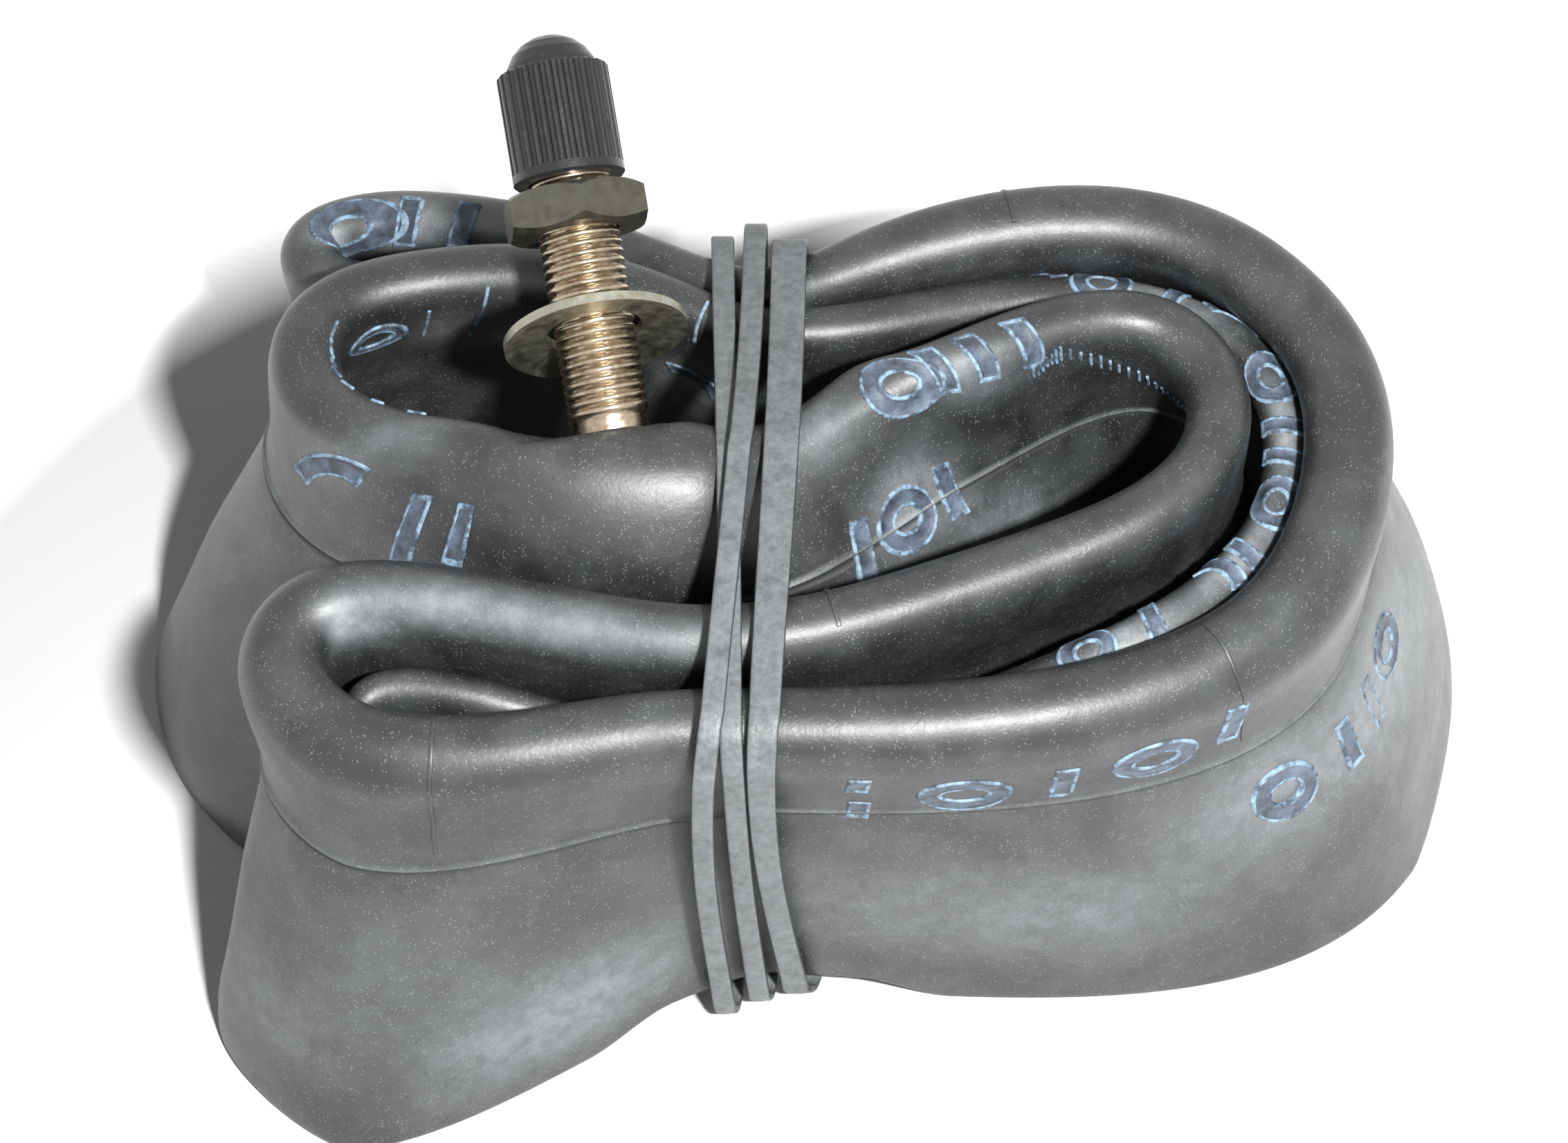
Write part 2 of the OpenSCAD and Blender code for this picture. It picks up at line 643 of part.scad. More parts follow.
// Belt around the rests, starting at the upper back corner and running over the top:
// [y, z, normal y, normal z] for each direction.
function belt(rests) = [for (k = [0:belt_steps - 1])
    let(angle = 45 + 360*k/belt_steps, n = [cos(angle), sin(angle)],
        reach = [for (r = rests) r[0]*n[0] + r[1]*n[1] + r[2]],
        far = max(reach),
        r = [for (i = [0:len(rests) - 1]) if (reach[i] == far) rests[i]][0])
    [r[0] + r[2]*n[0], r[1] + r[2]*n[1], n[0], n[1]]];
function running(list, i = 0, total = 0) = i >= len(list) ? [total] :
    concat([total], running(list, i + 1, total + list[i]));
// Running length of the belt, with each turn counted as extra length to crowd the rings there.
function belt_lengths(b) = running([for (k = [0:len(b) - 1])
    let(p = b[k], q = b[(k + 1) % len(b)])
    norm([q[0] - p[0], q[1] - p[1]]) + corner_crowding*2*PI/belt_steps]);
// The belt's point at a fraction of its length, as [y, z, normal y, normal z].
function belt_at(b, lengths, f) =
    let(along = (f - floor(f))*lengths[len(b)],
        k = max([for (i = [0:len(b) - 1]) if (lengths[i] <= along) i]),
        step = lengths[k + 1] - lengths[k],
        t = step < eps/100 ? 0 : (along - lengths[k])/step,
        p = b[k]*(1 - t) + b[(k + 1) % len(b)]*t,
        n = norm([p[2], p[3]]))
    [p[0], p[1], p[2]/n, p[3]/n];
function band_ring(b, lengths, f, x, level, width) =
    let(p = belt_at(b, lengths, f), low = band_gap + level, high = low + band_thickness)
    [for (c = [[-1, low], [1, low], [1, high], [-1, high]])
        [x + c[0]*width/2, p[0] + p[2]*c[1], p[1] + p[3]*c[1]]];

// [x, share of the width] at eight places around each band, from the upper back corner.
left_run = [[-2.2, 1.05], [-1.9, 1.0], [-3.3, .95], [-4.0, .9], [-1.0, 1.0], [-0.6, 1.0], [-1.2, 1.0], [-2.0, 1.0]];
right_run = [[ 3.1, 1.08], [ 2.6, 1.05], [ 0.3, .85], [ 0.2, .72], [ 5.2, .8], [ 6.0, .9], [ 5.0, 1.0], [ 3.8, 1.0]];
left_places = [-0.75, -0.4, -0.1, 12.7, 13.0, 13.5, 22, 22.5, 34.7, 35.2, 45.6, 81.3];
right_places = [-0.1, 0.3, 0.6, 12.2, 12.5, 13, 13.3, 22.6, 23.1, 34, 34.6, 46.3, 80.8];
function rests_of(places) = concat([for (s = places) ridge_rest(s)], [for (s = places) edge_rest(s)]);
left_belt = belt(rests_of(left_places));
right_belt = belt(rests_of(right_places));
left_lengths = belt_lengths(left_belt);
right_lengths = belt_lengths(right_belt);
band_rings = 84;
crossing = 0.31;      // the two turns cross on top when f + crossing is a half
crossing_gain = 1.6;
function ease(c) = (3*c - c*c*c)/2;

module rubber_band_left() {
    count = 2*band_rings;
    color("darkslategray") translate(-centre) closed_sweep([for (i = [0:count - 1])
        let(f = i/band_rings, t = 180*(f + crossing), run = curve_at(left_run, (f - floor(f))*8),
            aside = turn_spacing/2*ease(clamp(crossing_gain*cos(t), -1, 1)),
            level = (band_thickness + band_gap)*(1 + ease(clamp(crossing_gain*sin(t), -1, 1)))/2)
        band_ring(left_belt, left_lengths, f, run[0] + aside, level, left_band_width*run[1])]);
}
module rubber_band_right() {
    color("darkslategray") translate(-centre) closed_sweep([for (i = [0:band_rings - 1])
        let(f = i/band_rings, run = curve_at(right_run, f*8))
        band_ring(right_belt, right_lengths, f, run[0], 0, right_band_width*run[1])]);
}

tube();
valve_foot();
valve_stem();
core_plug();
core_barrel();
core_gasket();
core_spring();
core_pin();
core_cup();
core_seal();
valve_cap();
cap_seal();
rim_nut();
rim_washer();
rubber_band_left();
rubber_band_right();
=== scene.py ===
"""Folded bicycle inner tube: moulded skin, chalked marks, threaded valve, rubber bands and a plain white studio."""

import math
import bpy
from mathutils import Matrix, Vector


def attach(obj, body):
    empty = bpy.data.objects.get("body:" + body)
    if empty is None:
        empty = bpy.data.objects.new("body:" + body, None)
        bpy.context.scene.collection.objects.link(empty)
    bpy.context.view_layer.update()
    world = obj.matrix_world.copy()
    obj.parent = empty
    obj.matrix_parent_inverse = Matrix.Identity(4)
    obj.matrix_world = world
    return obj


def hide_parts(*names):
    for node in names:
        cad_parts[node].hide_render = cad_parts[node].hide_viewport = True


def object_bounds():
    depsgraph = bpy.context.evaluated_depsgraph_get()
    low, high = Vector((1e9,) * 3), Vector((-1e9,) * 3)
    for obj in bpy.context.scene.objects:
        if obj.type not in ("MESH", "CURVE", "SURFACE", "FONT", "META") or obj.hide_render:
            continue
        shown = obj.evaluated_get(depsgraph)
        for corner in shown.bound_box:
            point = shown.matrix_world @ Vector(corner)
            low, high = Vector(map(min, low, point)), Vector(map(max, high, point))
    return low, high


bl_info = {
    "name": "Folded Inner Tube",
    "version": (1, 0, 0),
    "blender": (4, 5, 0),
    "location": "3D View > Sidebar > Inner Tube",
    "description": "Dresses a folded inner tube with its rubber skin, marks, valve threads and bands",
    "category": "Object",
}

import bmesh
import bpy
import numpy as np
from bpy.props import FloatProperty, FloatVectorProperty, PointerProperty
from mathutils import Vector

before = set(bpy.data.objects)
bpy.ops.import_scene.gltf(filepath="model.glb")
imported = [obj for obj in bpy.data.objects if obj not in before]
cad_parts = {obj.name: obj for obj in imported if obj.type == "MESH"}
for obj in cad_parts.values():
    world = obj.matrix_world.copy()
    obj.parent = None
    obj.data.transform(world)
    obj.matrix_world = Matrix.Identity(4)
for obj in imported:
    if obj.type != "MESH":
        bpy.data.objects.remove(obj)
CAD_BOX = [list(map(float, corner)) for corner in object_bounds()]
MM = 0.001

# ---- Sizes of the folded tube, in millimetres, the same as in the solid model ----
TUBE_WIDTH = 55.0
WALLS = 2.0
EDGE = 2.2
EDGE_FADE = 5.5
EDGE_TOP = 6.6
EDGE_ROUND = .62
RIDGE = 8.8
TAPER = 12.0
# Bend of a wall that leans over: least radius, and radius over the leaning height
BEND_LEAST = 4
BEND_SHARE = .35
# Spread of the lower edge: distances from the waist and shares of the flare
FLARE = 17.0
SPREAD_TOP = .7
REACH_RIGHT, REACH_POWER = 52, 1.4
REACH_LEFT, LEFT_POWER = 38, 1.1
FRONT_EDGE, FRONT_DEPTH = -18, 30
BACK_EDGE, BACK_DEPTH = 8, 40
BEHIND_EDGE, BEHIND_DEPTH = 26, 18
RIGHT_SPREAD, RIGHT_BACK, RIGHT_FRONT = 1.08, .45, .5
LEFT_SPREAD, LEFT_FRONT_CUT, LEFT_BEHIND_CUT, LEFT_BACK = 1.5, 1.15, .95, .4
WAIST_BACK, WAIST_FRONT = .1, .22
# Lift of the lower edge under the bands
PINCH_LIFT = 3.6
PINCH_HALF_WIDTH = 8.5
PINCH_RUN = 8
PINCH_HEIGHT = 16
# One row per point of the fold: x, y, drop of the ridge, ridge share, lean, height of the lean.
FOLD = np.array([
    (0, 35.4, 7.5, .50, 0, 40), (10, 39.2, 4.5, .85, 0, 40), (22, 42.8, 3, 1, 0, 40), (34, 44.5, 3, 1, 0, 40),
    (45, 42, 3, 1, 0, 40), (53, 35, 3, 1, 0, 40), (58, 25.5, 3, 1, 0, 40), (58, 15, 3, 1, 0, 40),
    (55, 5, 4, 1, 0, 40), (49, -4, 5, 1, 0, 40), (39, -10, 5, 1, 0, 40), (27, -13.5, 5, 1, 0, 40),
    (13, -15, 5, .98, 0, 40), (0, -15, 5, .90, 0, 40), (-10, -15, 5, .90, 0, 40), (-21, -17.5, 5, .95, 0, 40),
    (-32, -18.5, 5, .95, 0, 40), (-41, -15.5, 5, .95, 0, 40), (-46, -8, 4, .90, 0, 40),
    (-42, -1, 4, .90, 0, 40), (-31, -1.5, 4, .88, 0, 40), (-18, -4.4, 4, .85, 0, 40), (-6, -6.8, 4, .80, 0, 40),
    (6, -5.4, 4, .80, 0, 40), (18, -1, 4, .80, 0, 40), (29, 3.2, 4, .80, 0, 40), (38, 7, 3, .76, 0, 40),
    (44.5, 13.5, 3, .72, 0, 40), (46, 22, 3, .72, 0, 40), (42, 28.5, 3, .78, -2, 34),
    (36, 28.5, 2, .80, -8, 30), (30, 22, 0, .80, -20, 28), (25, 14, -2, .82, -33, 27),
    (18, 8, -3, .85, -42, 30), (9, 4, -3, .88, -54, 36), (-2, 2.5, -3, .92, -66, 42),
    (-13, 2.5, -3, 1.05, -71, 44), (-23, 4, -3, 1, -68, 44), (-32, 8, -1, .92, -45, 42),
    (-39, 13.5, 2, .88, -18, 40), (-44.5, 20.5, 3, .84, 0, 40), (-46, 28.5, 3, .80, 0, 40),
    (-42, 34.8, 4, .80, 0, 40), (-33, 37.8, 5, .80, 0, 40), (-22, 38.6, 5, .80, 0, 40),
    (-11, 36.2, 6, .68, 0, 40), (-1, 30.6, 6.5, .48, 0, 40), (10, 31.8, 6.5, .66, 0, 40),
    (22, 36.3, 8, .66, 0, 40), (33, 37.8, 9, .62, 0, 40), (42, 35.6, 9, .60, 0, 40), (49.5, 30, 9, .60, 0, 40),
    (51.7, 23, 9, .58, 0, 40), (51.7, 15.5, 9, .58, 0, 40), (49, 7.5, 9, .60, 0, 40), (43, 1, 9, .60, 0, 40),
    (36, -3.6, 9, .55, 0, 40), (26, -7, 11, .45, 0, 40), (13, -9, 16, .30, 0, 40), (0, -9.5, 19, .25, 0, 40),
    (-12, -9.6, 16, .32, 0, 40), (-23, -9, 11, .42, 0, 40), (-32, -7.2, 10, .44, 0, 40),
    (-37.5, -8, 10, .38, 0, 40), (-37, -12.2, 11, .36, 0, 40), (-31, -12.4, 13, .34, 0, 40),
    (-22, -12.8, 17, .28, 0, 40), (-12, -11.8, 19, .25, 0, 40), (0, -12.2, 20, .25, 0, 40),
    (13, -12, 20, .25, 0, 40), (26, -10.2, 20, .25, 0, 40), (37, -6.8, 20, .25, 0, 40),
    (45, -1.4, 20, .25, 0, 40), (52, 6.5, 20, .25, 0, 40), (55, 15.2, 20, .25, 0, 40),
    (55, 24.6, 20, .25, 0, 40), (51.2, 33, 20, .25, 0, 40), (43.5, 38.9, 20, .25, 0, 40),
    (33.5, 41.2, 20, .25, 0, 40), (22.5, 40, 20, .25, 0, 40), (11, 35.9, 20, .25, 0, 40),
    (0, 33.1, 20, .25, 0, 40), (-11, 39.4, 20, .25, 0, 40), (-22, 42.4, 18, .30, 0, 40),
    (-33, 42.5, 15, .42, 0, 40), (-41, 41.6, 13, .58, 0, 40), (-46.5, 42.4, 12, .68, 0, 40),
    (-47, 48, 12, .72, 0, 40), (-41, 49.8, 11, .75, 0, 40), (-33, 49, 10, .75, 0, 40),
    (-22, 46.8, 9.5, .74, 0, 40), (-11, 42.2, 8.5, .62, 0, 40),
], float)
ROWS = len(FOLD)
# Middle of the folded tube's outline, which stands over the origin
CENTRE = np.array((4.67169, 10.5783, 0.0))
VALVE_ROW = 36.23

# ---- Valve: its place, its lean from upright and its turn about the upright, in degrees ----
VALVE_FOOT = np.array((-18.665, 3.638, 50.823))
VALVE_LEAN = 61.0
VALVE_YAW = 11.0
STEM_WAY = np.array((-math.sin(math.radians(VALVE_YAW))*math.sin(math.radians(VALVE_LEAN)),
                     math.cos(math.radians(VALVE_YAW))*math.sin(math.radians(VALVE_LEAN)),
                     math.cos(math.radians(VALVE_LEAN))))
# Swelling of the rubber round the valve's root, with a flat pad on top
SWELL_FORWARD = 2.8
SWELL_SINK = 3.4
SWELL_RADIUS = 7.4
SWELL_LENGTH = 16.0
SWELL_RUN, SWELL_RUN_FADE = 7, 9
SWELL_DEPTH, SWELL_DEPTH_FADE = 16.0, 8
WALL_HEIGHT = 40.0
PAD_HEIGHT = .9


def ease(t):
    """0 below 0, 1 above 1, and a smooth step between."""
    c = np.clip(t, 0, 1)
    return c*c*(3 - 2*c)


def spline(table, s, slope=False):
    """Closed cubic spline through a table of rows at places s, or its slope."""
    i = np.floor(s).astype(int)
    t = s - i
    if slope:
        w = (-(1 - t)**2/2, (3*t*t - 4*t)/2, (-3*t*t + 2*t + 1)/2, t*t/2)
    else:
        w = ((1 - t)**3/6, (3*t**3 - 6*t*t + 4)/6, (-3*t**3 + 3*t*t + 3*t + 1)/6, t**3/6)
    return sum(w[k][..., None]*table[(i + k - 1) % len(table)] for k in range(4))


def flare_of(x, y):
    """Sideways and fore-and-aft travel of the lower edge at a place in the bundle."""
    away = np.minimum(1, np.abs(x)/REACH_RIGHT)**REACH_POWER
    beside = np.minimum(1, np.abs(x)/REACH_LEFT)**LEFT_POWER
    front = 1 - ease((y - FRONT_EDGE)/FRONT_DEPTH)
    back = ease((y - BACK_EDGE)/BACK_DEPTH)
    behind = ease((y - BEHIND_EDGE)/BEHIND_DEPTH)
    waist = WAIST_BACK*back - WAIST_FRONT*front
    right = x > 0
    left_cut = LEFT_SPREAD - LEFT_FRONT_CUT*front - LEFT_BEHIND_CUT*behind
    fx = np.where(right, RIGHT_SPREAD*away, -away*left_cut)
    fy = np.where(right, away*(RIGHT_BACK*back - RIGHT_FRONT*front), beside*(LEFT_BACK*back - (1 - back))) + waist
    return FLARE*fx, FLARE*fy


def tube_point(s, v, u):
    """Point of the tube at place s of the fold, v up its section and u across it."""
    r = spline(FOLD, s)
    d = spline(FOLD, s, True)
    length = np.hypot(d[..., 0], d[..., 1])
    nx, ny = -d[..., 1]/length, d[..., 0]/length
    lean, start = r[..., 4], r[..., 5]
    a = np.radians(np.abs(lean))
    side = np.sign(lean)
    bend = np.maximum(BEND_LEAST, (TUBE_WIDTH - start)*BEND_SHARE)
    over = v - start
    b = np.where(over < bend*a, np.clip(over, 0, None)/bend, a)
    rest = np.maximum(over - bend*a, 0)
    across = side*(bend*(1 - np.cos(b)) + rest*np.sin(a)) + u*np.cos(b)
    up = start + bend*np.sin(b) + rest*np.cos(a) - side*u*np.sin(b)
    plain = (a < 1e-4) | (over <= 0)
    across, up = np.where(plain, u, across), np.where(plain, v, up)
    x, y = r[..., 0] + nx*across, r[..., 1] + ny*across
    fx, fy = flare_of(x, y)
    t = np.minimum(1, up/(TUBE_WIDTH - RIDGE*SPREAD_TOP))
    k = 1 - (t + ease(t))/2
    low = np.maximum(0, 1 - up/PINCH_HEIGHT)
    lift = PINCH_LIFT*(1 - ease((np.abs(x) - PINCH_HALF_WIDTH)/PINCH_RUN))
    return np.stack((x + fx*k, y + fy*k, up + lift*low*low), -1) - CENTRE


def ridge_of(s):
    """Height of the ridge and half of its width at place s."""
    r = spline(FOLD, s)
    return TUBE_WIDTH - r[..., 2], RIDGE/2*r[..., 3]


def half_walls(s, v):
    """Half thickness of the section at height v."""
    top, r = ridge_of(s)
    neck = top - r
    x = np.clip((v - neck + TAPER)/TAPER, 0, 1)
    taper = WALLS/2 + (r - WALLS/2)*(ease(x) + x)/2
    crown = np.sqrt(np.clip(r*r - (v - neck)**2, 0, None))
    foot = EDGE/2*np.sqrt(np.clip(1 - (1 - v/(EDGE/2))**2*EDGE_ROUND, 0, 1))
    foot = np.where(v > EDGE/2, EDGE/2 - (EDGE - WALLS)/2*np.clip((v - EDGE/2)/EDGE_FADE, 0, 1), foot)
    return np.where(v >= neck, crown, np.where(v < EDGE_TOP, foot, taper))


def skin_section(s, t):
    """Height and half thickness for a distance t over the skin from the middle of the ridge."""
    top, r = ridge_of(s)
    a = np.abs(t)
    turn = np.minimum(a/r, np.pi/2)
    v = np.where(a < r*np.pi/2, top - r + r*np.cos(turn), top - r - (a - r*np.pi/2))
    v = np.maximum(v, 0)
    u = np.where(a < r*np.pi/2, r*np.sin(turn), half_walls(s, v))
    return v, u*np.sign(t)


def swollen(points):
    """Pushes the skin out to a rounded swelling where the valve is moulded in."""
    ahead, behind = (tube_point(np.array(VALVE_ROW + d), np.array(WALL_HEIGHT), np.array(0.0)) for d in (.1, -.1))
    way = ahead - behind
    along = way*(1, 1, 0)/np.hypot(way[0], way[1])
    front = np.array((-along[1], along[0], 0.0))
    front = front*(-1 if front[1] > 0 else 1)
    gap = points - (VALVE_FOOT + front*SWELL_FORWARD - np.array((0, 0, SWELL_SINK)))
    run = gap @ along
    q = np.sqrt((run/SWELL_LENGTH)**2 + ((gap*gap).sum(-1) - run**2)/SWELL_RADIUS**2) + 1e-6
    near = 1 - ease((np.abs(run) - SWELL_RUN)/SWELL_RUN_FADE)
    high = ease((SWELL_DEPTH + gap[..., 2])/SWELL_DEPTH_FADE)
    push = ((q**5 + 1)**.2/q - 1)*near*high
    moved = points + gap*push[..., None]
    # nothing is pushed past the pad's height along the stem
    over = (moved - VALVE_FOOT) @ STEM_WAY - np.maximum((points - VALVE_FOOT) @ STEM_WAY, PAD_HEIGHT)
    return moved - np.clip(over, 0, None)[..., None]*STEM_WAY


def skin_bare(s, t):
    """Point of the skin at place s, t millimetres over from the ridge."""
    v, u = skin_section(s, t)
    return swollen(tube_point(s, v, u))


def skin(s, t, out=0.0):
    """The same point, raised off the skin by out."""
    s, t = np.broadcast_arrays(np.asarray(s, float), np.asarray(t, float))
    p = skin_bare(s, t)
    along = skin_bare(s + .02, t) - skin_bare(s - .02, t)
    over = skin_bare(s, t + .1) - skin_bare(s, t - .1)
    n = np.cross(along, over)
    n /= np.linalg.norm(n, axis=-1, keepdims=True) + 1e-12
    return p + n*np.asarray(out)[..., None]


# ---- Rubber bands: a belt round the strands at the waist ----
BAND_THICK = 1.0
BAND_GAP = 0.3
BAND_CORNER = .28
FACE_COLUMNS = 7
BAND_RINGS = 420
TURN_SPACING = 3.5
# Sideways run and share of the width at even steps round the belt
LEFT_RUN = np.array(((-2.2, 1.05), (-1.9, 1), (-3.3, .95), (-4, .9), (-1, 1), (-.6, 1), (-1.2, 1), (-2, 1)))
RIGHT_RUN = np.array(((3.1, 1.08), (2.6, 1.05), (.3, .85), (.2, .72), (5.2, .8), (6, .9), (5, 1), (3.8, 1)))
# Places along the fold where a band meets the strands
LEFT_PLACES = (-.75, -.4, -.1, 12.7, 13, 13.5, 22, 22.5, 34.7, 35.2, 45.6, 81.3)
RIGHT_PLACES = (-.1, .3, .6, 12.2, 12.5, 13, 13.3, 22.6, 23.1, 34, 34.6, 46.3, 80.8)
BELT_STEPS = 72
BELT_START = 45
CROWDING = 8.0
CROSSING = .31
CROSSING_GAIN = 1.6


def belt_of(places):
    """Belt round the ridges and lower edges at these places: y, z and outward normal per direction."""
    s = np.array(places, float)
    top, r = ridge_of(s)
    ridge = tube_point(s, top - r, 0*s) + CENTRE
    edge = tube_point(s, 0*s + EDGE/2, 0*s) + CENTRE
    rests = [(p[1], p[2], q) for p, q in zip(ridge, r)] + [(p[1], p[2], EDGE/2) for p in edge]
    belt = []
    for k in range(BELT_STEPS):
        a = math.radians(BELT_START + 360*k/BELT_STEPS)
        n = (math.cos(a), math.sin(a))
        best = max(rests, key=lambda c: c[0]*n[0] + c[1]*n[1] + c[2])
        belt.append((best[0] + best[2]*n[0], best[1] + best[2]*n[1], n[0], n[1]))
    belt = np.array(belt)
    step = np.roll(belt, -1, 0) - belt
    lengths = np.concatenate(([0], np.cumsum(np.hypot(step[:, 0], step[:, 1]) + CROWDING*2*math.pi/BELT_STEPS)))
    return belt, lengths


def belt_at(belt, lengths, f):
    """Points and outward normals at shares f of the way round the belt."""
    along = (f % 1)*lengths[-1]
    k = np.clip(np.searchsorted(lengths, along, side="right") - 1, 0, len(belt) - 1)
    t = ((along - lengths[k])/(lengths[k + 1] - lengths[k]))[:, None]
    p = belt[k]*(1 - t) + belt[(k + 1) % len(belt)]*t
    n = p[:, 2:]/np.linalg.norm(p[:, 2:], axis=1, keepdims=True)
    return p[:, :2], n


def soft_step(c):
    """Smooth step from -1 to 1 for c from -1 to 1."""
    return (3*c - c**3)/2


def band_outline():
    """Rounded rectangle round which a band's ring runs: corner and the way out of it, from its upper right."""
    outline = []
    for cx, cz, start in ((1, 1, 0), (-1, 1, 90), (-1, -1, 180), (1, -1, 270)):
        for a in np.radians(np.linspace(start, start + 90, 4)):
            outline.append((cx, cz, math.cos(a), math.sin(a)))
        if cx == cz:
            outline += [(q*cz, cz, 0, cz) for q in np.linspace(1, -1, FACE_COLUMNS)[1:-1]]
    return np.array(outline)


def band_rings(belt, lengths, f, x, level, width):
    """Rings of a flat band with rounded corners that runs along the belt, and how far each column is a side."""
    p, n = belt_at(belt, lengths, f)
    outline = band_outline()
    half = width/2
    b = outline[:, 1]*(BAND_THICK/2 - BAND_CORNER) + outline[:, 3]*BAND_CORNER
    rings = []
    for i in range(len(f)):
        a = outline[:, 0]*(half[i] - BAND_CORNER) + outline[:, 2]*BAND_CORNER
        out = b + (BAND_GAP + level[i] + BAND_THICK/2)
        rings.append(np.stack((x[i] + a, p[i, 0] + n[i, 0]*out, p[i, 1] + n[i, 1]*out), -1) - CENTRE)
    return np.array(rings), (np.abs(outline[:, 2]) > .6).astype(float)


# ---- Mesh helpers ----
def mesh_object(name, points, faces, *materials, layers=None):
    """A smooth-shaded object from points in millimetres; layers are values per point that its material reads."""
    # at its widest places the skin's lower edge stands .14 mm past the solid model's box, and is brought back to it
    inside = np.clip(np.asarray(points, float)*MM, *CAD_BOX)
    mesh = bpy.data.meshes.new(name)
    mesh.from_pydata(inside.tolist(), [], [tuple(map(int, f)) for f in faces])
    mesh.update()
    mesh.shade_smooth()
    for key, values in (layers or {}).items():
        mesh.attributes.new(key, "FLOAT", "POINT").data.foreach_set("value", np.asarray(values, np.float32))
    obj = bpy.data.objects.new(name, mesh)
    bpy.context.scene.collection.objects.link(obj)
    for material in materials:
        mesh.materials.append(material)
    return obj


def grid_faces(rows, cols, flip=False):
    """Quads of a grid that closes on itself both ways."""
    faces = []
    for i in range(rows):
        for j in range(cols):
            a, b = i*cols + j, i*cols + (j + 1) % cols
            c, d = ((i + 1) % rows)*cols + (j + 1) % cols, ((i + 1) % rows)*cols + j
            faces.append((d, c, b, a) if flip else (a, b, c, d))
    return faces


def face_outward(obj):
    """Makes every closed shell of a mesh face outward."""
    work = bmesh.new()
    work.from_mesh(obj.data)
    bmesh.ops.recalc_face_normals(work, faces=work.faces)
    work.to_mesh(obj.data)
    work.free()
    obj.data.update()


class Shading:
    """A node material with a Principled shader and short ways to add nodes."""

    def __init__(self, name, colour=(.5, .5, .5), roughness=.5, metallic=0.0):
        self.material = bpy.data.materials.new(name)
        self.material.use_nodes = True
        self.tree = self.material.node_tree
        self.shader = self.tree.nodes["Principled BSDF"]
        self.set("Base Color", colour)
        self.set("Roughness", roughness)
        self.set("Metallic", metallic)
        self.place = self.add("ShaderNodeTexCoord").outputs["Object"]

    def feed(self, socket, value):
        """Links a node's output into a socket, or writes a plain number or colour to it."""
        if isinstance(value, bpy.types.NodeSocket):
            self.tree.links.new(value, socket)
        elif isinstance(value, tuple):
            socket.default_value = (*value, 1)
        else:
            socket.default_value = value

    def set(self, socket, value):
        self.feed(self.shader.inputs[socket], value)

    def add(self, kind, **values):
        node = self.tree.nodes.new(kind)
        for key, value in values.items():
            setattr(node, key, value)
        return node

    def noise(self, scale, detail=3.0, rough=.5, distortion=0.0):
        node = self.add("ShaderNodeTexNoise")
        for key, value in (("Vector", self.place), ("Scale", scale), ("Detail", detail), ("Roughness", rough),
                           ("Distortion", distortion)):
            self.feed(node.inputs[key], value)
        return node.outputs["Fac"]

    def cells(self, scale):
        node = self.add("ShaderNodeTexVoronoi")
        self.feed(node.inputs["Vector"], self.place)
        self.feed(node.inputs["Scale"], scale)
        return node.outputs["Distance"]

    def math(self, operation, a, b=0.0, clamp=False):
        node = self.add("ShaderNodeMath", operation=operation, use_clamp=clamp)
        self.feed(node.inputs[0], a)
        self.feed(node.inputs[1], b)
        return node.outputs[0]

    def span(self, value, low, high, to_low=0.0, to_high=1.0):
        """Maps a value from low..high to to_low..to_high, held at both ends."""
        node = self.add("ShaderNodeMapRange")
        for key, number in (("Value", value), ("From Min", low), ("From Max", high), ("To Min", to_low),
                            ("To Max", to_high)):
            self.feed(node.inputs[key], number)
        return node.outputs[0]

    def mix(self, amount, a, b):
        """Colour that goes from a to b as amount goes from 0 to 1."""
        node = self.add("ShaderNodeMix", data_type="RGBA")
        for socket, value in ((node.inputs["Factor"], amount), (node.inputs[6], a), (node.inputs[7], b)):
            self.feed(socket, value)
        return node.outputs[2]

    def layer(self, name):
        """The mesh's own values of that name."""
        return self.add("ShaderNodeAttribute", attribute_name=name).outputs["Fac"]

    def bump(self, *heights):
        """Chained bumps, each (height socket, strength, distance in metres)."""
        last = None
        for height, strength, distance in heights:
            node = self.add("ShaderNodeBump")
            node.inputs["Strength"].default_value = strength
            node.inputs["Distance"].default_value = distance
            self.tree.links.new(height, node.inputs["Height"])
            if last is not None:
                self.tree.links.new(last, node.inputs["Normal"])
            last = node.outputs["Normal"]
        self.tree.links.new(last, self.shader.inputs["Normal"])


def chosen():
    """The sizes and colours set in the panel."""
    return bpy.context.scene.inner_tube


